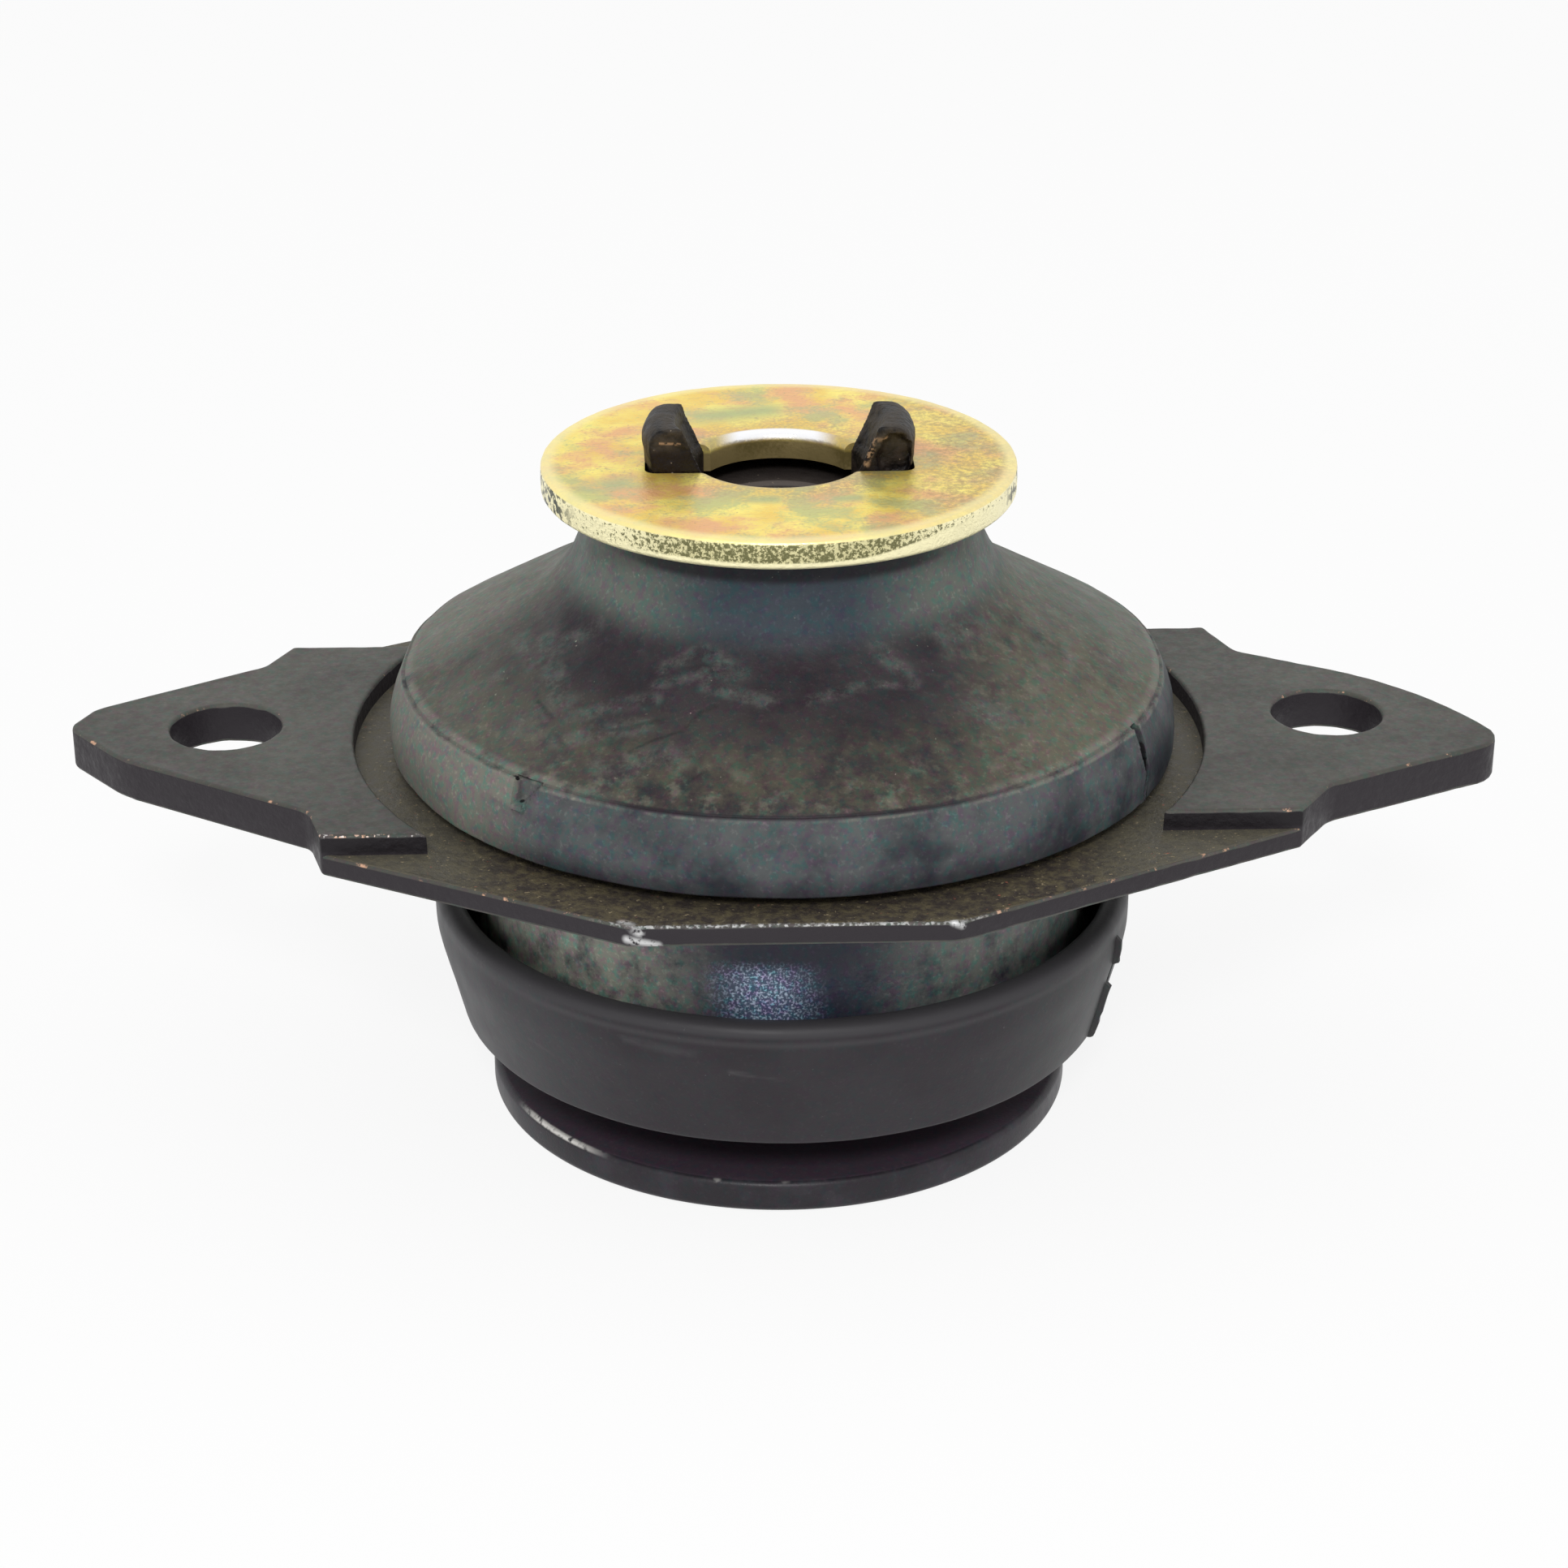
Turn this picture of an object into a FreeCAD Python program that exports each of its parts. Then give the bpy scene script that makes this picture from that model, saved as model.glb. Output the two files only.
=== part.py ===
import FreeCAD, Part
import math
import os

from FreeCAD import Vector

# Transmission mount: a rubber block bonded into a pressed steel flange, on a steel core
# with a plated washer on top, a rubber cup below and a steel disc at the foot.
# Millimetres. The origin is the middle of the foot disc's underside, +Z is the bolt
# axis, and +X runs through the two flange bolts.

# Foot disc
disc_radius = 32.0
disc_thickness = 3.6
disc_edge_round = 0.8

# Steel core: its centre bore, the wall round it and round the spigot in the disc
bore_radius = 6.25
bore_chamfer = 0.6
core_wall = 8.25
spigot_wall = 3.25

# Two lugs on top of the core, each as far in from its side as lug_inset
lug_inset = 1.1
lug_wall = 4.5
lug_width = 8.6
lug_root_depth = 2.0
lug_straight_height = 4.4
lug_lean_height = 5.4
lug_inner_lean = 2.0
lug_outer_lean = 0.6
lug_outer_round = 2.4
lug_inner_round = 0.6

# Plated washer, held by the lugs
washer_overhang = 3.1
washer_thickness = 3.0
washer_edge_round = 0.45
washer_bore_inset = 0.5
washer_bore_round = 0.8
washer_over_core = 2.1
notch_end_clearance = 0.6
notch_side_clearance = 0.2
notch_corner_round = 1.2

# Flange plate, seen from above: the front is -Y
plate_thickness = 2.3
pad_step = 2.2
plate_underside = 38.0
plate_opening_radius = 30.0
recess_beyond_skirt = 3.7
bolt_spacing = 119.0
bolt_hole_radius = 6.0
flat_half_width = 16.2
front_reach = 44.5
rear_reach = 43.0
flank_angle = 28.6
shoulder_round = 1.0
flat_end_round = 2.0
plate_edge_round = 0.5

# How far inside its bolt each flank ends, and the drop from there to the wing
front_right_inside = 6.7
front_right_drop = 5.8
rear_right_inside = 9.9
rear_right_drop = 7.1
rear_left_inside = 5.1
rear_left_drop = 5.6
front_left_inside = 12.4
front_left_drop = 5.7

# Tip of each wing from its bolt: outwards, to the rear, and the round of each corner
right_tip = (18.4, -7.9, 4.0)
left_tip = [(14.7, 5.3, 5.0), (16.9, 0.3, 2.5), (10.1, -8.3, 15.0)]

# The wing's corner next to each flank: inside its bolt, and its round. The bulge of the
# right wing's rear edge: outwards from its bolt, in front of that corner, and its round.
front_right_corner = (2.9, 4.0)
rear_right_corner = (7.3, 3.5)
rear_right_bulge = (10.5, 10.3, 35.0)
rear_left_corner = (2.4, 3.0)
front_left_corner = (10.8, 3.0)

# How far both rubber pieces sit to the right of the bolt axis
rubber_offset = 0.4

# Rubber block: sleeve below the plate, and skirt, cone and neck above it
sleeve_lap = 3.3
skirt_reach = 8.7
skirt_foot_inset = 4.0
skirt_gap = 1.5
skirt_height = 7.9
skirt_bulge = 0.2
skirt_bulge_round = 12.0
crease_inset = 1.4
cone_rise = 10.7
neck_wall = 7.3
neck_height = 8.9
neck_edge_round = 0.6
neck_root_round = 7.0
slit_turn = -29.0
slit_width = 0.8
slit_depth = 1.6

# Rubber cup round the sleeve, from its neck on the disc up to its rim
cup_neck_wall = 7.5
cup_neck_height = 6.6
cup_neck_round = 1.5
cup_floor = 4.0
cup_floor_round = 1.5
cup_gap = 2.0
cup_wall = 2.8
cup_taper = 2.7
cup_taper_height = 10.6
cup_base_round = 0.7
cup_side_round = 12.0
cup_straight = 4.5
cup_rim_round = 1.25

# Flash that the cup's mould leaves: an upright seam with a tear, and a lip on the base
flash_thickness = 0.5
flash_height = 0.6
seam_flash_turn = -22.0
seam_tear_below = 3.6
seam_tear_gap = 2.4
base_flash_start = 188.0
base_flash_sweep = 58.0

# Radii that follow from the sizes above
core_radius = bore_radius + core_wall
spigot_radius = bore_radius + spigot_wall
lug_outer_radius = core_radius - lug_inset
lug_inner_radius = lug_outer_radius - lug_wall
neck_radius = core_radius + neck_wall
washer_radius = neck_radius + washer_overhang
washer_bore_radius = lug_inner_radius - washer_bore_inset
sleeve_radius = plate_opening_radius + sleeve_lap
skirt_radius = sleeve_radius + skirt_reach
crease_radius = skirt_radius - crease_inset
recess_radius = skirt_radius + recess_beyond_skirt
cup_inner_radius = sleeve_radius + cup_gap
cup_rim_radius = cup_inner_radius + cup_wall
cup_base_radius = cup_rim_radius - cup_taper
cup_neck_radius = core_radius + cup_neck_wall
bolt_x = bolt_spacing / 2

# Heights that follow from the sizes above
cup_underside = disc_thickness + cup_neck_height
cup_floor_top = cup_underside + cup_floor
cup_straight_height = cup_underside + cup_taper_height
cup_rim_height = cup_straight_height + cup_straight
plate_top = plate_underside + plate_thickness
pad_top = plate_top + pad_step
skirt_lip_height = plate_top + skirt_gap
crease_height = skirt_lip_height + skirt_height
cone_top_height = crease_height + cone_rise
washer_underside = cone_top_height + neck_height
core_height = washer_underside - washer_over_core

Z_AXIS = Vector(0, 0, 1)
ORIGIN = Vector(0, 0, 0)


def in_plan(height):
    """Places the points of an outline on a level plane."""
    return lambda x, y: Vector(x, y, height)


def in_section(radius, height):
    """Places the points of a half section in the XZ plane."""
    return Vector(radius, 0, height)


def tangent_arc(before, corner, after, radius):
    """Start, middle and end of the arc that rounds one corner of an outline."""
    if radius == 0:
        return corner, corner, corner
    back = (before - corner).normalize()
    ahead = (after - corner).normalize()
    half = back.getAngle(ahead) / 2
    reach = radius / math.tan(half)
    inward = (back + ahead).normalize()
    middle = corner + inward * (radius / math.sin(half) - radius)
    return corner + back * reach, middle, corner + ahead * reach


def rounded_wire(corners, place):
    """Closed wire through (u, v, round) corners, each round being a tangent arc."""
    points = [place(u, v) for u, v, _ in corners]
    rounds = [radius for _, _, radius in corners]
    before = points[-1:] + points[:-1]
    after = points[1:] + points[:1]
    arcs = [tangent_arc(*corner) for corner in zip(before, points, after, rounds)]
    edges = []
    for index, (start, middle, end) in enumerate(arcs):
        edges.append(Part.makeLine(arcs[index - 1][2], start))
        if rounds[index] > 0:
            edges.append(Part.Arc(start, middle, end).toShape())
    return Part.Wire(edges)


def turned(corners):
    """Solid of revolution from the corners of its half section."""
    face = Part.Face(rounded_wire(corners, in_section))
    return face.revolve(ORIGIN, Z_AXIS, 360)


def seated(rubber):
    """Moves a rubber piece to its place, off the bolt axis, and clears the core from it."""
    rubber.translate(Vector(rubber_offset, 0, 0))
    return rubber.cut(Part.makeCylinder(core_radius, 2 * core_height))


def save(shape, name):
    """Writes one piece and says how large it is."""
    solids = shape.Solids
    piece = solids[0] if len(solids) == 1 else Part.Compound(solids)
    piece.exportStep("parts/" + name + ".step")
    box = piece.BoundBox
    size = "%.1f x %.1f x %.1f" % (box.XLength, box.YLength, box.ZLength)
    print(name, len(solids), "solid", piece.isValid(), size, "volume %.0f" % piece.Volume)


def shoulder(inside, reach):
    """Where a flank ends: its distances from the middle, along X and along Y."""
    x = bolt_x - inside
    return x, reach - (x - flat_half_width) * math.tan(math.radians(flank_angle))


front_right = shoulder(front_right_inside, front_reach)
rear_right = shoulder(rear_right_inside, rear_reach)
rear_left = shoulder(rear_left_inside, rear_reach)
front_left = shoulder(front_left_inside, front_reach)


def plate_outline():
    """Corners of the flange from the front flat round to it, each wing set from its bolt."""
    corners = [
        (-flat_half_width, -front_reach, flat_end_round),
        (flat_half_width, -front_reach, flat_end_round),
        (front_right[0], -front_right[1], shoulder_round),
        (bolt_x - front_right_corner[0], front_right_drop - front_right[1], front_right_corner[1]),
    ]
    rear_right_y = rear_right[1] - rear_right_drop
    corners += [
        (bolt_x + right_tip[0], right_tip[1], right_tip[2]),
        (bolt_x + rear_right_bulge[0], rear_right_y - rear_right_bulge[1], rear_right_bulge[2]),
        (bolt_x - rear_right_corner[0], rear_right_y, rear_right_corner[1]),
        (rear_right[0], rear_right[1], shoulder_round),
        (flat_half_width, rear_reach, flat_end_round),
        (-flat_half_width, rear_reach, flat_end_round),
        (-rear_left[0], rear_left[1], shoulder_round),
        (rear_left_corner[0] - bolt_x, rear_left[1] - rear_left_drop, rear_left_corner[1]),
    ]
    corners += [(-bolt_x - out, y, radius) for out, y, radius in left_tip]
    corners += [
        (front_left_corner[0] - bolt_x, front_left_drop - front_left[1], front_left_corner[1]),
        (-front_left[0], -front_left[1], shoulder_round),
    ]
    return corners


def recess():
    """What the press sinks: a round pan and the four corners outside the wings' pads."""
    span = bolt_spacing
    pan = Part.makeCylinder(recess_radius, span, Vector(0, 0, plate_top))
    corners = [
        (-span, -front_left[1] - span),
        (0, -front_right[1] - span),
        (0, rear_right[1]),
        (-span, rear_left[1]),
    ]
    for low_x, low_y in corners:
        pan = pan.fuse(Part.makeBox(span, span, span, Vector(low_x, low_y, plate_top)))
    return pan


def flange_plate():
    """One pressed steel plate: thick wings with a bolt hole each, and a thinner middle."""
    wire = rounded_wire(plate_outline(), in_plan(plate_underside))
    height = plate_thickness + pad_step
    plate = Part.Face(wire).extrude(Vector(0, 0, height))
    rim = [edge for edge in plate.Edges if edge.BoundBox.ZMin > pad_top - 0.01]
    plate = plate.makeFillet(plate_edge_round, rim)
    plate = plate.cut(recess())
    plate = plate.cut(Part.makeCylinder(plate_opening_radius, height, Vector(0, 0, plate_underside)))
    for x in (-bolt_x, bolt_x):
        plate = plate.cut(Part.makeCylinder(bolt_hole_radius, height, Vector(x, 0, plate_underside)))
    return plate


def lug_ring():
    """The ring that both lugs are cut from: straight through the washer, then spread."""
    root = core_height - lug_root_depth
    bend = core_height + lug_straight_height
    top = bend + lug_lean_height
    return turned([
        (lug_inner_radius, root, 0),
        (lug_outer_radius, root, 0),
        (lug_outer_radius, bend, 0),
        (lug_outer_radius + lug_outer_lean, top, lug_outer_round),
        (lug_inner_radius + lug_inner_lean, top, lug_inner_round),
        (lug_inner_radius, bend, 0),
    ])


def inner_core():
    """Turned steel core with a through bore, a spigot for the disc and two lugs."""
    core = turned([
        (bore_radius, 0, 0),
        (spigot_radius, 0, 0),
        (spigot_radius, disc_thickness, 0),
        (core_radius, disc_thickness, 0),
        (core_radius, core_height, 0),
        (bore_radius + bore_chamfer, core_height, 0),
        (bore_radius, core_height - bore_chamfer, 0),
    ])
    corner = Vector(-washer_radius, -lug_width / 2, core_height / 2)
    across = Part.makeBox(2 * washer_radius, lug_width, core_height, corner)
    return core.fuse(lug_ring().common(across)).removeSplitter()


def top_washer():
    """Thick plated washer with a bore and two notches that the lugs come up through."""
    low = washer_underside
    high = low + washer_thickness
    washer = turned([
        (washer_bore_radius, low, 0),
        (washer_radius, low, washer_edge_round),
        (washer_radius, high, washer_edge_round),
        (washer_bore_radius, high, washer_bore_round),
    ])
    end = lug_outer_radius + notch_end_clearance
    side = lug_width / 2 + notch_side_clearance
    notch = rounded_wire([
        (-end, -side, notch_corner_round),
        (end, -side, notch_corner_round),
        (end, side, notch_corner_round),
        (-end, side, notch_corner_round),
    ], in_plan(low))
    return washer.cut(Part.Face(notch).extrude(Vector(0, 0, washer_thickness)))


def slit():
    """Wedge that opens the skirt at its split, widest at the crease."""
    inner = crease_radius - slit_depth
    face = Part.Face(Part.makePolygon([
        Vector(inner, -slit_width / 2, crease_height),
        Vector(inner, slit_width / 2, crease_height),
        Vector(inner, 0, skirt_lip_height),
        Vector(inner, -slit_width / 2, crease_height),
    ]))
    wedge = face.extrude(Vector(2 * slit_depth + skirt_radius - crease_radius, 0, 0))
    wedge.rotate(ORIGIN, Z_AXIS, slit_turn)
    return wedge


def rubber_block():
    """Moulded rubber: bonded round the core and over both faces of the plate."""
    inner = core_radius / 2
    block = turned([
        (inner, cup_floor_top, 0),
        (sleeve_radius, cup_floor_top, 0),
        (sleeve_radius, plate_top, 0),
        (skirt_radius - skirt_foot_inset, plate_top, 0),
        (skirt_radius, skirt_lip_height, 0),
        (skirt_radius + skirt_bulge, skirt_lip_height + skirt_height / 2, skirt_bulge_round),
        (crease_radius, crease_height, 0),
        (neck_radius, cone_top_height, neck_root_round),
        (neck_radius, washer_underside, neck_edge_round),
        (inner, washer_underside, 0),
    ])
    return seated(block.cut(slit())).cut(flange_plate())


def cup_wall_radius(height):
    """Outer radius of the cup's wall, which narrows towards its base."""
    rise = (height - cup_underside) / (cup_straight_height - cup_underside)
    return cup_base_radius + (cup_rim_radius - cup_base_radius) * min(rise, 1)


def seam_flash(heights):
    """Thin upright fin of rubber where the mould halves met, following the wall."""
    inner = [(cup_wall_radius(z) - flash_height, z) for z in heights]
    outer = [(cup_wall_radius(z) + flash_height, z) for z in reversed(heights)]
    points = [Vector(r, -flash_thickness / 2, z) for r, z in inner + outer]
    fin = Part.Face(Part.makePolygon(points + points[:1])).extrude(Vector(0, flash_thickness, 0))
    fin.rotate(ORIGIN, Z_AXIS, seam_flash_turn)
    return fin


def base_flash():
    """Thin lip of rubber along a part of the cup's lower edge."""
    corner = Vector(0, 0, cup_underside + cup_base_round)
    reach = cup_base_radius + flash_height
    lip = Part.makeCylinder(reach, flash_thickness, corner, Z_AXIS, base_flash_sweep)
    lip = lip.cut(Part.makeCylinder(cup_base_radius - flash_height, cup_rim_height, ORIGIN))
    lip.rotate(ORIGIN, Z_AXIS, base_flash_start)
    return lip


def rebound_cup():
    """Moulded rubber cup round the sleeve, with its neck standing on the disc."""
    inner = core_radius / 2
    cup = turned([
        (inner, disc_thickness, 0),
        (cup_neck_radius, disc_thickness, 0),
        (cup_neck_radius, cup_underside, cup_neck_round),
        (cup_base_radius, cup_underside, cup_base_round),
        (cup_rim_radius, cup_straight_height, cup_side_round),
        (cup_rim_radius, cup_rim_height, cup_rim_round),
        (cup_inner_radius, cup_rim_height, cup_rim_round),
        (cup_inner_radius, cup_floor_top, cup_floor_round),
        (inner, cup_floor_top, 0),
    ])
    tear = cup_straight_height - seam_tear_below
    low = seam_flash((cup_underside + cup_base_round, tear))
    high = seam_flash((tear + seam_tear_gap, cup_straight_height, cup_rim_height - 2 * cup_rim_round))
    return seated(cup.fuse([low, high, base_flash()]).removeSplitter())


def bottom_disc():
    """Turned steel disc, pressed on the core's spigot."""
    return turned([
        (spigot_radius, 0, 0),
        (disc_radius, 0, disc_edge_round),
        (disc_radius, disc_thickness, disc_edge_round),
        (spigot_radius, disc_thickness, 0),
    ])


os.makedirs("parts", exist_ok=True)
save(bottom_disc(), "bottom_disc")
save(rebound_cup(), "rebound_cup")
save(inner_core(), "inner_core")
save(flange_plate(), "flange_plate")
save(rubber_block(), "rubber_block")
save(top_washer(), "top_washer")
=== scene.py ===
import math

import bmesh
import bpy
import numpy as np
from mathutils import Matrix, Vector, noise
from mathutils.geometry import delaunay_2d_cdt


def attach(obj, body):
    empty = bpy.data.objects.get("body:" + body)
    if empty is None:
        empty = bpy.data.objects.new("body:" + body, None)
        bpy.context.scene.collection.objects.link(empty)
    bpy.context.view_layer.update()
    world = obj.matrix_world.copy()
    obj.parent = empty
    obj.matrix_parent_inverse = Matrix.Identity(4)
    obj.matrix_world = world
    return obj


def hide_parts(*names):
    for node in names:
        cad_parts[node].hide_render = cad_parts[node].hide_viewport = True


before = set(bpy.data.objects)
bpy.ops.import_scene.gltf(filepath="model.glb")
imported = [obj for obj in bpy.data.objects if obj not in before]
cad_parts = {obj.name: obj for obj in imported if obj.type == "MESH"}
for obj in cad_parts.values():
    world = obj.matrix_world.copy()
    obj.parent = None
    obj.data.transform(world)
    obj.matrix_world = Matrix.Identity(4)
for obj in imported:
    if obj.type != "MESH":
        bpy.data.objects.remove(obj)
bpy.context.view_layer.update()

# Foot disc. The real one is a turned steel disc with a thin black coat, pressed on the
# spigot of the core. Its rounded top edge is rubbed to steel in spots and has a painted
# highlight at the left front.

MM = 0.001
FULL_TURN = 2 * math.pi

disc_radius = 32.0
disc_thickness = 3.6
disc_edge_round = 0.8
disc_turns = 240
spigot_radius = 9.5


def rounded(corners, arc_steps=6):
    """Points in mm of a closed outline through anticlockwise (u, v, round) corners."""
    points = []
    for index, (u, v, radius) in enumerate(corners):
        corner = Vector((u, v))
        back = (Vector(corners[index - 1][:2]) - corner).normalized()
        ahead = (Vector(corners[(index + 1) % len(corners)][:2]) - corner).normalized()
        if radius == 0:
            points.append(corner)
            continue
        half = back.angle(ahead) / 2
        centre = corner + (back + ahead).normalized() * radius / math.sin(half)
        start = corner + back * radius / math.tan(half) - centre
        end = corner + ahead * radius / math.tan(half) - centre
        side = 1 if start.x * end.y - start.y * end.x > 0 else -1
        sweep = side * (math.pi - 2 * half)
        for step in range(arc_steps + 1):
            points.append(centre + Matrix.Rotation(sweep * step / arc_steps, 2) @ start)
    return points


def divided(points, longest, beyond=0.0):
    """The same closed outline, its long runs divided where they lie beyond a radius."""
    result = []
    for index, point in enumerate(points):
        after = points[(index + 1) % len(points)]
        parts = 1
        if min(point.x, after.x) > beyond:
            parts = max(1, math.ceil((after - point).length / longest))
        result += [point.lerp(after, part / parts) for part in range(parts)]
    return result


def even_turns(count):
    """Angles that divide one turn evenly."""
    return [FULL_TURN * step / count for step in range(count)]


def turned(name, section, turns, shift=0.0, worn=None):
    """Mesh object of a half section in mm turned about Z; worn moves single points."""
    points = []
    for turn in turns:
        for radius, height in section:
            place = Vector((radius * math.cos(turn), radius * math.sin(turn), height))
            if worn:
                place = worn(place, turn)
            points.append(((place.x + shift) * MM, place.y * MM, place.z * MM))
    rows = len(section)
    faces = []
    for step in range(len(turns)):
        here = step * rows
        there = (step + 1) % len(turns) * rows
        for row in range(rows):
            above = (row + 1) % rows
            faces.append((here + row, there + row, there + above, here + above))
    mesh = bpy.data.meshes.new(name)
    mesh.from_pydata(points, [], faces)
    return linked(name, mesh)


def linked(name, mesh):
    """Object of a mesh, in the scene."""
    piece = bpy.data.objects.new(name, mesh)
    bpy.context.scene.collection.objects.link(piece)
    return piece


def face_out(mesh):
    """Turns the faces of a closed mesh outwards."""
    shape = bmesh.new()
    shape.from_mesh(mesh)
    bmesh.ops.recalc_face_normals(shape, faces=shape.faces)
    shape.to_mesh(mesh)
    shape.free()


def finished(piece, node, finish, sharp_degrees=35):
    """Smooth shading, material, and the place of a piece that stands for a CAD node."""
    face_out(piece.data)
    piece.data.shade_smooth()
    piece.data.set_sharp_from_angle(angle=math.radians(sharp_degrees))
    piece.data.materials.clear()
    piece.data.materials.append(finish)
    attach(piece, "root")
    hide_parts(node)


def plug(tree, socket, value):
    """Links a socket to the one given, or sets its value."""
    if isinstance(value, bpy.types.NodeSocket):
        tree.links.new(value, socket)
    else:
        socket.default_value = value


def wired(tree, kind, inputs=(), **settings):
    """A new node of a tree with its settings, its inputs set or linked."""
    node = tree.nodes.new(kind)
    for key, value in settings.items():
        setattr(node, key, value)
    for key, value in inputs:
        plug(tree, node.inputs[key], value)
    return node


def tint(colour):
    """A colour socket as it is, or linear red, green and blue with full alpha."""
    return colour if isinstance(colour, bpy.types.NodeSocket) else (*colour, 1.0)


class Finish:
    """One material. Masks run from 0 to 1, and coats lie over one another in order."""

    def __init__(self, name):
        self.material = bpy.data.materials.new(name)
        self.material.use_nodes = True
        self.tree = self.material.node_tree
        self.shader = self.tree.nodes["Principled BSDF"]
        texture = self.add("ShaderNodeTexCoord")
        self.place = texture.outputs["Object"]
        self.facing = self.part("Z", texture.outputs["Normal"])
        self.colour = None
        self.relief = None

    def add(self, kind, inputs=(), **settings):
        return wired(self.tree, kind, inputs, **settings)

    def part(self, axis, vector=None):
        """One coordinate of a vector, or of the place, in metres."""
        return self.add("ShaderNodeSeparateXYZ", [(0, vector or self.place)]).outputs[axis]

    def calc(self, operation, first, second=0.0):
        inputs = [(0, first), (1, second)]
        return self.add("ShaderNodeMath", inputs, operation=operation).outputs[0]

    def vector(self, operation, first, second=(0, 0, 0), output=0):
        """Vector sum; the second output is the number of a length or a product."""
        inputs = [(0, first), ("Scale" if operation == "SCALE" else 1, second)]
        return self.add("ShaderNodeVectorMath", inputs, operation=operation).outputs[output]

    def grain(self, size, detail=3.0, rough=0.5, stretch=(1, 1, 1), shift=0.0):
        """Noise from 0 to 1 whose largest spots are size mm wide, longer where stretched."""
        scale = [1 / (size * MM * along) for along in stretch]
        place = self.add("ShaderNodeMapping", [(0, self.place), (3, scale), (1, (shift,) * 3)])
        inputs = [("Vector", place.outputs[0]), ("Scale", 1.0)]
        inputs += [("Detail", detail), ("Roughness", rough)]
        return self.add("ShaderNodeTexNoise", inputs).outputs[0]

    def step(self, value, low, high):
        """Smooth rise from 0 at low to 1 at high, or a fall where low is above high."""
        rising = low < high
        inputs = [(0, value), (1, min(low, high)), (2, max(low, high))]
        inputs += [(3, 0.0 if rising else 1.0), (4, 1.0 if rising else 0.0)]
        node = self.add("ShaderNodeMapRange", inputs, interpolation_type="SMOOTHSTEP")
        return node.outputs[0]

    def band(self, value, low, high, soft):
        """1 between two values, with soft ends."""
        rise = self.step(value, low - soft, low + soft)
        return self.calc("MULTIPLY", rise, self.step(value, high + soft, high - soft))

    def both(self, *masks):
        result = masks[0]
        for mask in masks[1:]:
            result = self.calc("MULTIPLY", result, mask)
        return result

    def either(self, *masks):
        result = masks[0]
        for mask in masks[1:]:
            result = self.calc("MAXIMUM", result, mask)
        return result

    def blend(self, mask, below, above, share=1.0):
        """One colour over another where the mask is 1, and only by a share of it."""
        if share != 1.0:
            mask = self.calc("MULTIPLY", mask, share)
        inputs = [(0, mask), (6, tint(below)), (7, tint(above))]
        return self.add("ShaderNodeMix", inputs, data_type="RGBA").outputs[2]

    def coat(self, mask, colour, share=1.0):
        """Lays a colour over all that was laid before."""
        self.colour = self.blend(mask, self.colour, colour, share)

    def between(self, mask, below, above):
        """A number between two, by a mask."""
        inputs = [(0, mask), (3, below), (4, above)]
        return self.add("ShaderNodeMapRange", inputs).outputs[0]

    def reach(self):
        """Distance from the Z axis, in metres."""
        return self.vector("LENGTH", self.vector("MULTIPLY", self.place, (1, 1, 0)), output=1)

    def turn(self):
        """Angle round the Z axis in radians, from -pi to pi."""
        return self.calc("ARCTAN2", self.part("Y"), self.part("X"))

    def streak(self, start, end, width):
        """1 on the line between two points in mm, falling to 0 at half its width."""
        start = Vector(start) * MM
        along = Vector(end) * MM - start
        from_start = self.vector("SUBTRACT", self.place, start)
        share = self.vector("DOT_PRODUCT", from_start, along / along.length_squared, 1)
        share = self.add("ShaderNodeClamp", [(0, share)]).outputs[0]
        nearest = self.vector("SCALE", along, share)
        return self.step(self.vector("DISTANCE", from_start, nearest, 1), width * MM / 2, 0.0)

    def streaks(self, *marks, spread=1.0):
        """Several streaks in one, each mark a start, an end and a width times spread."""
        return self.either(*[self.streak(start, end, wide * spread) for start, end, wide in marks])

    def speckle(self, share):
        """Grain of teal, plum and pale in the coats so far, as in old rubber and paint."""
        teal = self.step(self.grain(0.9, detail=2.0, rough=0.7, shift=21.0), 0.46, 0.68)
        plum = self.step(self.grain(1.0, detail=2.0, rough=0.7, shift=31.0), 0.46, 0.68)
        pale = self.step(self.grain(0.5, detail=2.0, rough=0.6, shift=41.0), 0.54, 0.74)
        hues = ((0.50, 1.15, 1.05), (1.10, 0.68, 1.0), (1.6, 1.55, 1.5))
        for mask, hue in zip((teal, plum, pale), hues):
            inputs = [(0, self.calc("MULTIPLY", mask, share)), (6, self.colour), (7, tint(hue))]
            node = self.add("ShaderNodeMix", inputs, data_type="RGBA", blend_type="MULTIPLY")
            self.colour = node.outputs[2]

    def warped(self, size, amount):
        """The place, pushed about by up to half of amount mm."""
        cloud = self.add("ShaderNodeTexNoise", [("Vector", self.place), ("Scale", 1 / (size * MM))])
        shift = self.vector("SUBTRACT", cloud.outputs[1], (0.5,) * 3)
        return self.vector("ADD", self.place, self.vector("SCALE", shift, amount * MM))

    def raise_by(self, height, depth):
        """Adds relief of depth mm where height is 1."""
        lift = self.calc("MULTIPLY", height, depth * MM)
        self.relief = lift if self.relief is None else self.calc("ADD", self.relief, lift)

    def done(self, roughness, metal=0.0, specular=0.5):
        """The material, with its coats and its relief."""
        values = [("Base Color", tint(self.colour)), ("Roughness", roughness)]
        values += [("Metallic", metal), ("Specular IOR Level", specular)]
        if self.relief is not None:
            bump = self.add("ShaderNodeBump", [("Distance", 1.0), ("Height", self.relief)])
            values.append(("Normal", bump.outputs[0]))
        for key, value in values:
            plug(self.tree, self.shader.inputs[key], value)
        return self.material


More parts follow.
